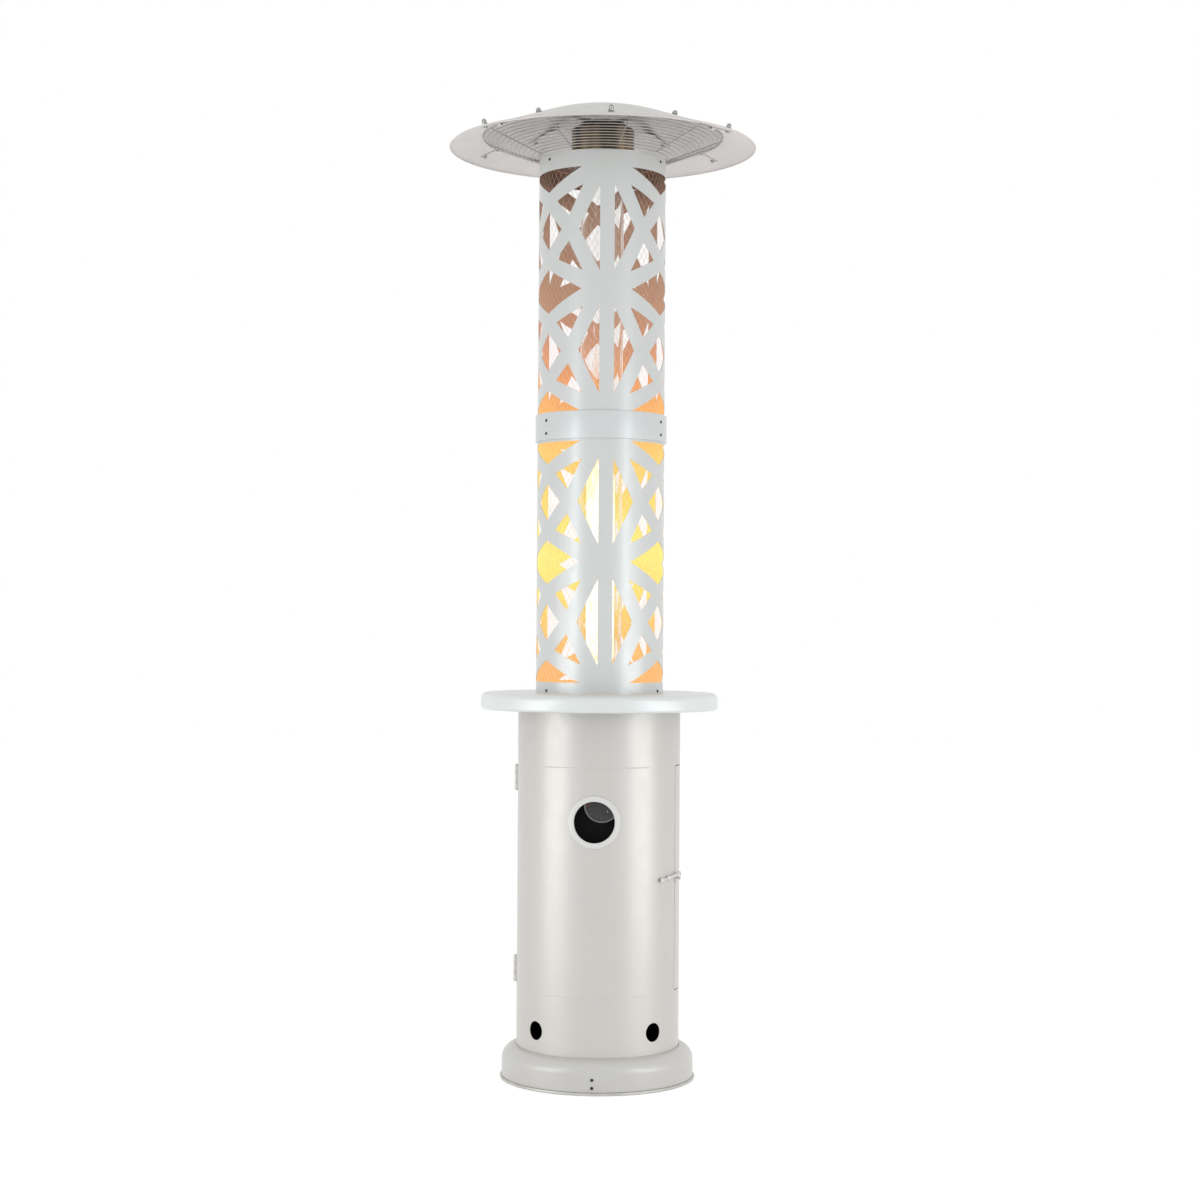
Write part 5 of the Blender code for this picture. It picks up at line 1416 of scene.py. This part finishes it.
def make_knob():
    facing = Matrix.Translation(KNOB_CENTRE) @ Matrix.Rotation(pi / 2, 4, "X")
    drop = KNOB_FACE_DROP
    rim = KNOB_RADIUS - drop
    face, side = rim - KNOB_FACE_INSET, KNOB_RADIUS - KNOB_SIDE_INSET
    path = [(0, -drop), (face, -drop, 0.0008), (face, -KNOB_SIDE_INSET, 0.0004)]
    path += [(side, -KNOB_SIDE_INSET, 0.0008), (side, -KNOB_DEPTH, 0.001)]
    path += [(KNOB_BORE, -KNOB_DEPTH), (KNOB_BORE, -KNOB_BORE_FLOOR), (0, -KNOB_BORE_FLOOR)]
    mesh = turned_mesh(rounded(path, 4), KNOB_FLUTES * 4)
    for vert in mesh.vertices:
        x, y, z = vert.co
        if hypot(x, y) > KNOB_RADIUS - 0.003 and z < -0.0025:
            turn = Vector((x, y)).angle_signed(Vector((1, 0)))
            wave = 1 - KNOB_FLUTE_SHARE * (1 - cos(KNOB_FLUTES * turn))
            vert.co = (x * wave, y * wave, z)
    body = link("knob_body", mesh, KNOB_PLASTIC)
    body.matrix_world = facing
    settle(body, "knob", "knob_plastic", "control_knob")

    inside = rim - BEZEL_WIDTH
    path = [(inside, -0.0014), (inside, 0, 0.0005), (rim, 0, 0.0008)]
    path += [(KNOB_RADIUS, -drop, 0.0010), (KNOB_RADIUS - 0.0002, -BEZEL_DEPTH)]
    path += [(inside, -BEZEL_DEPTH)]
    bezel = turned("knob_bezel", rounded(path, 4), BEZEL_METAL, 128)
    bezel.matrix_world = facing
    settle(bezel, "knob", "bright_steel")

    def put(name, mesh, material, x=0, y=0):
        piece = link(name, mesh, material)
        piece.matrix_world = facing @ Matrix.Translation((x, y, -MARK_DROP))
        settle(piece, "knob", "knob_plastic")

    dot = plate_mesh([circle(0, 0, OFF_MARK_RADIUS, 32)], MARK_WALL, MARK_BEVEL)
    put("off_mark", dot, MARK_RED, *OFF_MARK_PLACE)
    wide, tall = TICK_HALF_WIDTH, TICK_HALF_LENGTH
    tick = plate_mesh([rectangle(-wide, -tall, wide, tall, 0.0004)], MARK_WALL, MARK_BEVEL)
    pairs = []
    for angle in TICK_ANGLES:
        turn = Matrix.Rotation(radians(angle - 90), 4, "Z")
        pairs.append((tick, turn @ Matrix.Translation((0, TICK_CIRCLE, 0))))
    put("dial_ticks", joined(pairs), MARK_GREY)
    dot = plate_mesh([circle(0, 0, POINTER_RADIUS, 24)], MARK_WALL, MARK_BEVEL)
    put("dial_pointer", dot, MARK_WHITE, *POINTER_PLACE)


def make_riser():
    lower, upper = RISER_START + RISER_STRAIGHT, RISER_END - RISER_STRAIGHT
    path = [RISER_START]
    for step in range(RISER_STEPS + 1):
        share = step / RISER_STEPS
        point = lower.lerp(upper, share * share * (3 - 2 * share))
        point.z = lower.z + (upper.z - lower.z) * share
        path.append(point)
    path.append(RISER_END)
    pipe = wires("riser_pipe", [path], RISER_RADIUS, BRASS)
    settle(pipe, "heater", "brass", "gas_riser")


# Table


def make_table():
    low = TABLE_TOP_Z - TABLE_DEPTH
    path = [
        (TABLE_BORE, TABLE_TOP_Z),
        (TABLE_RADIUS, TABLE_TOP_Z, TABLE_ROUND),
        (TABLE_RADIUS, low, 0.006),
        (TABLE_RADIUS - TABLE_HEM, low),
    ]
    section = walled(rounded(path, 8), TABLE_WALL)
    settle(turned("table_disc", section, TABLE_PAINT), "heater", "table_paint", "table_top")


# Column


def cell_cuts(low, cell, axis):
    """The star cut-outs of one cell, as angle and height, for the star on this axis."""
    middle = low + cell / 2
    cuts = []
    for side in (1, -1):
        window = [
            (WINDOW_EDGE_ANGLE, low + CUT_INSET),
            (WINDOW_TIP_ANGLE, middle),
            (WINDOW_EDGE_ANGLE, low + cell - CUT_INSET),
        ]
        kite = [(KITE_INNER_ANGLE, CUT_INSET), KITE_OUTER, KITE_TIP]
        upper = [(angle, low + cell - height) for angle, height in kite]
        lower = [(angle, low + height) for angle, height in kite]
        for cut in (window, upper, lower):
            cuts.append([(axis + side * angle, z) for angle, z in cut])
    centre = axis + STAR_STEP / 2
    cuts.append(
        [
            (centre - DIAMOND_HALF_ANGLE, middle),
            (centre, low + DIAMOND_INSET),
            (centre + DIAMOND_HALF_ANGLE, middle),
            (centre, low + cell - DIAMOND_INSET),
        ]
    )
    return cuts


def wedge(node, axis, sides):
    """The diamond between two stars at a node's height, or its upper or lower half."""
    centre = axis + STAR_STEP / 2
    points = [(centre - WEDGE_HALF_ANGLE, node)]
    if -1 in sides:
        points.append((centre, node - WEDGE_HALF_HEIGHT))
    points.append((centre + WEDGE_HALF_ANGLE, node))
    if 1 in sides:
        points.append((centre, node + WEDGE_HALF_HEIGHT))
    return points


def make_sleeve(name, bottom, top, bands):
    """A sleeve with two rows of three stars between its plain end bands."""
    low, high = bottom + bands[0], top - bands[1]
    cell = (high - low) / 2
    cuts = []
    for turn in range(0, 360, STAR_STEP):
        cuts += cell_cuts(low, cell, turn) + cell_cuts(low + cell, cell, turn)
        cuts += [wedge(low, turn, (1,)), wedge(low + cell, turn, (-1, 1)), wedge(high, turn, (-1,))]
    shift = [360 if min(angle for angle, z in cut) < 0 else 0 for cut in cuts]
    radius = SLEEVE_RADIUS
    flat = [
        [(radians(angle + move) * radius, z) for angle, z in cut]
        for cut, move in zip(cuts, shift)
    ]
    outline = rectangle(0, bottom, 2 * pi * radius, top)
    mesh = rolled_mesh([outline] + flat, radius, SHEET_WALL)
    mesh.transform(Matrix.Rotation(radians(STAR_AZ), 4, "Z"))
    piece = link(f"{name}_shell", mesh, SLEEVE_PAINT, SLEEVE_INSIDE)
    settle(piece, "heater", "sleeve_paint", name)


def make_guard(name, bottom, top):
    """A tube of expanded metal: a grid of diamonds whose middles are opened."""
    rows = round((top - bottom) / MESH_ROW_HEIGHT) * 2
    rise = (top - bottom) / rows
    shape = bmesh.new()
    grid = {}

    def knot(column, row):
        key = (column % (2 * MESH_COUNT), row)
        if key not in grid:
            azimuth = 180 * column / MESH_COUNT
            grid[key] = shape.verts.new(polar(MESH_RADIUS, azimuth, bottom + rise * row))
        return grid[key]

    for row in range(rows + 1):
        for column in range(row % 2, 2 * MESH_COUNT, 2):
            left, right = knot(column - 1, row), knot(column + 1, row)
            if row == 0:
                shape.faces.new((left, right, knot(column, 1)))
            elif row == rows:
                shape.faces.new((left, knot(column, row - 1), right))
            else:
                shape.faces.new((left, knot(column, row - 1), right, knot(column, row + 1)))
    slim = MESH_STRAND / 2
    bmesh.ops.inset_individual(shape, faces=shape.faces[:], thickness=slim, use_even_offset=True)
    middles = [face for face in shape.faces if all(v not in grid.values() for v in face.verts)]
    bmesh.ops.delete(shape, geom=middles, context="FACES_ONLY")
    sheet = link("guard", mesh_of(shape, 60))
    thicken(sheet, MESH_WALL, 0)
    mesh = baked(sheet)
    mesh.set_sharp_from_angle(angle=radians(40))
    guard = link(f"{name}_mesh", mesh, MESH_OUTSIDE, MESH_INSIDE)
    for face in mesh.polygons:
        faces_out = face.normal.x * face.center.x + face.normal.y * face.center.y > 0
        face.material_index = 0 if faces_out else 1
    settle(guard, "heater", "guard_steel", name)


def make_column():
    bottom = TABLE_TOP_Z + GAP
    make_sleeve("lower_sleeve", bottom, SLEEVE_JOINT_Z, LOWER_BANDS)
    make_sleeve("upper_sleeve", SLEEVE_JOINT_Z + GAP, SLEEVE_TOP_Z, UPPER_BANDS)
    make_guard("lower_guard", bottom, SLEEVE_JOINT_Z)
    make_guard("upper_guard", SLEEVE_JOINT_Z + GAP, SLEEVE_TOP_Z)

    low, high = SLEEVE_JOINT_Z - JOINT_BAND_HEIGHT / 2, SLEEVE_JOINT_Z + JOINT_BAND_HEIGHT / 2
    inner, outer = SLEEVE_RADIUS + GAP, JOINT_BAND_RADIUS
    path = [(inner, high), (outer, high, 0.0010), (outer, low, 0.0010), (inner, low)]
    band = turned("joint_band", rounded(path), BAND_PAINT)
    settle(band, "heater", "sleeve_paint", "joining_band")

    low = SLEEVE_TOP_Z + GAP
    high = low + PLATE_THICKNESS
    hole = GLASS_RADIUS + 3 * GAP
    path = [(hole, high), (SLEEVE_RADIUS, high, 0.0006), (SLEEVE_RADIUS, low, 0.0006), (hole, low)]
    plate = turned("column_cover", rounded(path), ZINC)
    settle(plate, "heater", "zinc_steel", "sleeve_top_plate")

    head = screw_mesh(**SLEEVE_SCREW)
    number = 0
    for turn in range(0, 360, STAR_STEP):
        for z, radius in SLEEVE_SCREW_ROWS:
            number += 1
            spin = Matrix.Rotation(1.3 * number, 4, "Z")
            screw = link(f"sleeve_screw_{number}", head.copy(), DARK_SCREW)
            screw.matrix_world = on_wall(radius, SLEEVE_SCREW_AZ + turn, z) @ spin
            settle(screw, "heater", "zinc_steel")


# Glass tube and flame


def make_glass():
    inner = GLASS_RADIUS - GLASS_WALL
    low, high = GLASS_FOOT_Z, GLASS_TOP_Z
    path = [(inner, low, 0.001), (GLASS_RADIUS, low, 0.001), (GLASS_RADIUS, high, 0.0012)]
    path += [(inner, high, 0.0012), (inner, low)]
    section = rounded(path)[:-1]
    settle(turned("flame_tube", section, TUBE_GLASS, 96), "heater", "glass", "glass_tube")


def flame_mesh(outline, low, high, twist, swell, seed):
    """A tongue of flame: rings that follow an outline of shares, with turning lobes."""
    shape = bmesh.new()
    rows = []
    for row in range(FLAME_ROWS + 1):
        share = row / FLAME_ROWS
        for (start, first), (end, last) in zip(outline, outline[1:]):
            if start <= share <= end:
                part = (share - start) / (end - start)
                radius = first + (last - first) * (3 * part * part - 2 * part ** 3)
        z = low + (high - low) * share
        ring = []
        for step in range(FLAME_STEPS):
            angle = 2 * pi * step / FLAME_STEPS
            turn = twist * share
            lobe = sin(3 * angle + turn) * 0.6 + sin(5 * angle - 1.7 * turn + seed) * 0.4
            sway = noise.noise(Vector((cos(angle), sin(angle), 14 * z + seed)))
            reach = radius * (1 + swell * (lobe * 0.6 + sway) * (0.3 + share))
            ring.append(shape.verts.new((reach * cos(angle), reach * sin(angle), z)))
        rows.append(ring)
    for lower, upper in zip(rows, rows[1:]):
        for step in range(FLAME_STEPS):
            after = (step + 1) % FLAME_STEPS
            shape.faces.new((lower[step], lower[after], upper[after], upper[step]))
    shape.faces.new(rows[0][::-1])
    shape.faces.new(rows[-1])
    return mesh_of(shape, 60)


def make_flame():
    mesh = flame_mesh(CORE_OUTLINE, FLAME_FOOT_Z, CORE_TOP_Z, twist=5.0, swell=0.06, seed=1.0)
    settle(link("flame_core", mesh, FLAME_CORE), "heater", "glass")
    mesh = flame_mesh(VEIL_OUTLINE, FLAME_FOOT_Z, VEIL_TOP_Z, twist=7.0, swell=0.08, seed=2.6)
    settle(link("flame_veil", mesh, FLAME_VEIL), "heater", "glass")


# Emitter and bracket


def make_emitter():
    foot = SLEEVE_TOP_Z + GAP + PLATE_THICKNESS + GAP
    path = [
        (EMITTER_HOLE_RADIUS, EMITTER_TOP_Z),
        (EMITTER_RADIUS, EMITTER_TOP_Z, 0.008),
        (EMITTER_RADIUS, foot),
    ]
    section = walled(rounded(path, 8), SHEET_WALL)
    can = turned("emitter_can", section, EMITTER_METAL)
    settle(can, "heater", "heat_tinted_steel", "emitter_screen")

    low = EMITTER_TOP_Z + GAP
    high = low + CAP_HEIGHT
    path = [(0, high), (CAP_RADIUS, high, 0.0016), (CAP_RADIUS, low, 0.0008), (0, low)]
    cap = turned("emitter_lid", rounded(path, 4), CAP_METAL, 96)
    settle(cap, "heater", "heat_tinted_steel", "emitter_cap")


def reflector_height(radius):
    """Height of the reflector's upper surface."""
    brim = BRIM_SLOPE * (REFLECTOR_RADIUS - max(radius, BRIM_RADIUS))
    cone = CONE_SLOPE * (BRIM_RADIUS - min(max(radius, DOME_RADIUS), BRIM_RADIUS))
    inside = min(radius, DOME_RADIUS)
    dome = CONE_SLOPE * (DOME_RADIUS - inside * inside / DOME_RADIUS) / 2
    return REFLECTOR_RIM_Z + brim + cone + dome


def reflector_under(radius):
    """Height of the reflector's lower surface."""
    return reflector_height(radius) - SHEET_WALL * hypot(1, CONE_SLOPE)


def on_reflector(radius, azimuth):
    """A place on the reflector whose Z is square to it."""
    lean = BRIM_SLOPE if radius > BRIM_RADIUS else CONE_SLOPE
    place = Matrix.Translation(polar(radius, azimuth, reflector_height(radius)))
    return place @ stand_at(azimuth) @ Matrix.Rotation(atan(lean), 4, "Y")


def make_bracket():
    bottom = EMITTER_TOP_Z + GAP + CAP_HEIGHT + GAP
    top = bottom + ARM_WALL
    path = [(0, top), (CAP_RADIUS, top, 0.0006), (CAP_RADIUS, bottom, 0.0006), (0, bottom)]
    pairs = [(turned_mesh(rounded(path, 3), 96), STAY)]
    near, far = ARM_BOLT_CIRCLE - ARM_FOOT, ARM_BOLT_CIRCLE + ARM_FOOT
    path = [(ARM_ROOT_RADIUS, top), (ARM_KNEE_RADIUS, top, ARM_KNEE_ROUND)]
    path += [(near, reflector_under(near) - 3 * GAP, ARM_KNEE_ROUND)]
    path += [(far, reflector_under(far) - 3 * GAP)]
    arm = prism(walled(rounded(path, 6), ARM_WALL), ARM_WIDTH)
    pairs += [(arm, stand_at(azimuth)) for azimuth in ARM_AZIMUTHS]
    bracket = link("reflector_arms", joined(pairs), REFLECTOR_METAL)
    settle(bracket, "heater", "zinc_steel", "reflector_bracket")


def make_reflector():
    path = [(0, reflector_height(0))]
    for step in range(1, DOME_STEPS + 1):
        radius = DOME_RADIUS * step / DOME_STEPS
        path.append((radius, reflector_height(radius), 0.02))
    edge = REFLECTOR_RADIUS - RIM_CURL
    path += [(BRIM_RADIUS, reflector_height(BRIM_RADIUS), 0.012)]
    rim = reflector_height(edge)
    path += [(edge, rim, 0.0025), (REFLECTOR_RADIUS, rim - RIM_CURL, 0.0016)]
    path += [(REFLECTOR_RADIUS - RIM_CURL / 2, REFLECTOR_RIM_Z - RIM_CURL)]
    section = walled(rounded(path, 4), SHEET_WALL)
    dish = turned("reflector_dish", section, REFLECTOR_METAL, 180)
    settle(dish, "heater", "reflector_steel", "reflector")


def domed_nut(height):
    """A washer, a chamfered hexagon and a polished dome, standing on z = 0."""
    bore, rim, low, shoulder = NUT_BORE, WASHER_RADIUS, WASHER_WALL, height * 0.45
    path = [(bore, 0.0001), (rim, 0.0001, 0.0004), (rim, low, 0.0004), (bore, low)]
    washer = turned_mesh(rounded(path, 3), 40)
    corner = NUT_CORNER_RADIUS
    path = [(bore, low), (corner, low), (corner, shoulder), (bore, shoulder)]
    round_off = link("hexagon", turned_mesh(to_points(path), 6, 20))
    bevel = round_off.modifiers.new("Edges", "BEVEL")
    bevel.width = 0.0005
    bevel.segments = 2
    six = baked(round_off)
    crown = NUT_DOME_RADIUS
    middle = height - crown
    path = [(0, shoulder), (crown, shoulder), (crown, middle)]
    path += [(crown * cos(radians(a)), middle + crown * sin(radians(a))) for a in range(10, 90, 10)]
    path += [(0, height)]
    dome = turned_mesh(to_points(path), 40, 50)
    return joined([(washer, STAY), (six, STAY), (dome, STAY)])


def bolt_mesh(nut_height, grip):
    """A domed nut over a shank and a cross-head bolt, for a sheet and strap of the stated grip."""
    path = [(0, 0.002), (BOLT_RADIUS, 0.002), (BOLT_RADIUS, -grip), (0, -grip)]
    shank = turned_mesh(to_points(path), 24)
    below = Matrix.Translation((0, 0, -grip)) @ Matrix.Rotation(pi, 4, "X")
    head = screw_mesh(**BOLT_HEAD)
    return joined([(domed_nut(nut_height), STAY), (shank, STAY), (head, below)])


def make_bolts():
    kinds = (
        ("reflector_bolt", "rim_nut", NUT_HEIGHT, RIM_BOLT_GRIP, BOLT_CIRCLE, BOLT_AZIMUTHS),
        ("arm_bolt", "arm_nut", SMALL_NUT_HEIGHT, ARM_BOLT_GRIP, ARM_BOLT_CIRCLE, ARM_AZIMUTHS),
    )
    for node, name, height, grip, circle_radius, azimuths in kinds:
        mesh = bolt_mesh(height, grip)
        for number, azimuth in enumerate(azimuths, 1):
            spin = Matrix.Rotation(0.9 * number, 4, "Z")
            piece = link(f"{name}_{number}", mesh.copy(), NUT_CHROME)
            piece.matrix_world = on_reflector(circle_radius, azimuth) @ spin
            settle(piece, "heater", "bright_steel", f"{node}_{number}")
    top = EMITTER_TOP_Z + GAP + CAP_HEIGHT + GAP + ARM_WALL
    head = screw_mesh(**BOLT_HEAD)
    for number, azimuth in enumerate(ARM_AZIMUTHS, 1):
        piece = link(f"lid_screw_{number}", head.copy(), ZINC)
        piece.matrix_world = Matrix.Translation(polar(CAP_BOLT_CIRCLE, azimuth + 45, top))
        settle(piece, "heater", "zinc_steel", f"cap_bolt_{number}")


# Wire grille and its clips


def grille_top():
    """Height of the grille's outer ring, close under the reflector."""
    return reflector_under(GRILLE_RADIUS + WIRE / 2) - GAP - WIRE * 0.6


def make_grille():
    outer, inner = GRILLE_RADIUS, GRILLE_INNER_RADIUS
    top, low = grille_top(), GRILLE_INNER_Z
    paths = []
    for ring in range(GRILLE_RINGS):
        share = ring / (GRILLE_RINGS - 1)
        paths.append(ring_path(outer + (inner - outer) * share, top + (low - top) * share))
    rings = wires("grille_rings", paths, RING_WIRE / 2, GRILLE_WIRE)
    settle(rings, "heater", "zinc_steel", "wire_grille")
    spokes = []
    for number in range(GRILLE_RADIALS):
        azimuth = GRILLE_AZ + 360 / GRILLE_RADIALS * number
        spokes.append([polar(outer, azimuth, top), polar(inner, azimuth, low)])
    settle(wires("grille_spokes", spokes, SPOKE / 2, SPOKE_WIRE), "heater", "zinc_steel")


def make_clips():
    low = grille_top() - WIRE / 2 - GAP
    outside = GRILLE_RADIUS + WIRE / 2 + 2 * GAP
    inside = GRILLE_RADIUS - WIRE / 2 - 2 * GAP

    def under(radius):
        return radius, reflector_under(radius) - 2 * GAP

    path = [under(BOLT_CIRCLE + CLIP_TOE), (*under(BRIM_RADIUS), 0.01)]
    path += [(*under(outside + 0.0014), 0.0015), (outside, low - 0.0004, 0.0012)]
    path += [(inside, low - 0.0004, 0.0012), (inside - 0.0015, low + 0.003)]
    section = walled(rounded(path, 4)[::-1], SHEET_WALL)
    strap = prism(section, CLIP_WIDTH)
    for number, azimuth in enumerate(BOLT_AZIMUTHS, 1):
        piece = link(f"clip_{number}", strap.copy(), REFLECTOR_METAL)
        piece.matrix_world = stand_at(azimuth)
        settle(piece, "heater", "zinc_steel", f"grille_clip_{number}")


# Carried-over nodes, floor, light and camera


def dress_nodes():
    """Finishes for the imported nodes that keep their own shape."""
    finishes = {
        # The control box's black is painted shade for the unlit inside of the cabinet, on top of
        # its own dark finish.
        "control_box": BLACK_ENAMEL_AND_SHADE,
        "gas_valve": BRASS,
        "gas_inlet": BRASS,
        "valve_stem": ZINC,
        "burner_head": BURNER_METAL,
        "spark_electrode": CHROME,
        "thermocouple": CHROME,
        "glass_seat": ZINC,
    }
    for name, material in finishes.items():
        node = frame["nodes"][name]
        node.data.materials.clear()
        node.data.materials.append(material)


def seen_plainly(tree):
    """1 for what the camera sees straight, mirrored or through glass, and 0 for other light."""
    path = add_node(tree, "ShaderNodeLightPath", {}).outputs
    seen = work_out(tree, "MAXIMUM", path["Is Camera Ray"], path["Is Glossy Ray"])
    return work_out(tree, "MAXIMUM", seen, path["Is Transmission Ray"])


def floor_finish():
    """A pale floor that the camera and mirrors see as white, apart from the object's shadow."""
    material, tree, shader = new_finish("studio_floor", (0.8, 0.8, 0.8), 0.0, Roughness=0.9)
    speckle = cloud(tree, 3.0, 2.0)
    tone = blended(tree, speckle, (0.80, 0.80, 0.80), (0.82, 0.82, 0.82))
    tree.links.new(tone, shader.inputs["Base Color"])
    lift = add_node(tree, "ShaderNodeEmission", {"Color": (1.0, 1.0, 1.0), "Strength": FLOOR_LIFT})
    none = add_node(tree, "ShaderNodeEmission", {"Color": (0.0, 0.0, 0.0), "Strength": 0.0})
    inputs = {0: seen_plainly(tree), 1: none.outputs[0], 2: lift.outputs[0]}
    extra = add_node(tree, "ShaderNodeMixShader", inputs).outputs[0]
    both = add_node(tree, "ShaderNodeAddShader", {0: shader.outputs[0], 1: extra})
    tree.links.new(both.outputs[0], tree.nodes["Material Output"].inputs["Surface"])
    return material


def make_floor():
    shape = bmesh.new()
    bmesh.ops.create_grid(shape, x_segments=8, y_segments=8, size=12)
    floor_piece = link("studio_floor", mesh_of(shape), floor_finish())
    floor_piece.location = (0, 0, -0.0004)


def make_sky():
    """An even white surround: white to the camera, to mirrors and through glass."""
    world = bpy.data.worlds.new("surround")
    world.use_nodes = True
    bpy.context.scene.world = world
    tree = world.node_tree
    strength = span(tree, seen_plainly(tree), 0, 1, SKY_STRENGTH, 1.0)
    background = tree.nodes["Background"]
    background.inputs["Color"].default_value = (1, 1, 1, 1)
    tree.links.new(strength, background.inputs["Strength"])


def make_strips(name, colour, turn, width, low, high, glow):
    """A soft strip light on each side of the camera, facing the object. Glow is per area."""
    for side, way in (("left", -1), ("right", 1)):
        lamp = bpy.data.lights.new(f"{side}_{name}", "AREA")
        lamp.shape = "RECTANGLE"
        lamp.size = width
        lamp.size_y = high - low
        lamp.energy = glow * width * (high - low)
        lamp.color = colour
        strip = bpy.data.objects.new(f"{side}_{name}", lamp)
        bpy.context.scene.collection.objects.link(strip)
        strip.matrix_world = on_wall(STRIP_DISTANCE, CAMERA_AZ + way * turn, (low + high) / 2)


def make_camera():
    data = bpy.data.cameras.new("camera")
    data.lens = CAMERA_LENS
    data.sensor_width = 36
    camera = bpy.data.objects.new("camera", data)
    bpy.context.scene.collection.objects.link(camera)
    back = Vector((0, -cos(CAMERA_PITCH), -sin(CAMERA_PITCH)))
    right, up = Vector((1, 0, 0)), back.cross(Vector((1, 0, 0)))
    across = right * cos(CAMERA_ROLL) + up * sin(CAMERA_ROLL)
    upright = up * cos(CAMERA_ROLL) - right * sin(CAMERA_ROLL)
    aim = Matrix((across, upright, back)).transposed().to_4x4()
    aim.translation = Vector((0, -CAMERA_DISTANCE, CAMERA_Z))
    camera.matrix_world = Matrix.Rotation(radians(CAMERA_AZ), 4, "Z") @ aim
    bpy.context.scene.camera = camera


def main():
    make_camera()
    make_base()
    make_housing()
    make_door()
    make_hinges()
    make_latch()
    make_knob()
    make_riser()
    make_table()
    make_column()
    make_glass()
    make_flame()
    make_emitter()
    make_bracket()
    make_reflector()
    make_bolts()
    make_grille()
    make_clips()
    dress_nodes()
    make_floor()
    make_sky()
    make_strips("low_strip", (1, 1, 1), **LOW_STRIPS)
    make_strips("high_strip", HIGH_STRIP_COLOUR, **HIGH_STRIPS)
    bpy.context.scene.view_settings.view_transform = "Standard"


main()
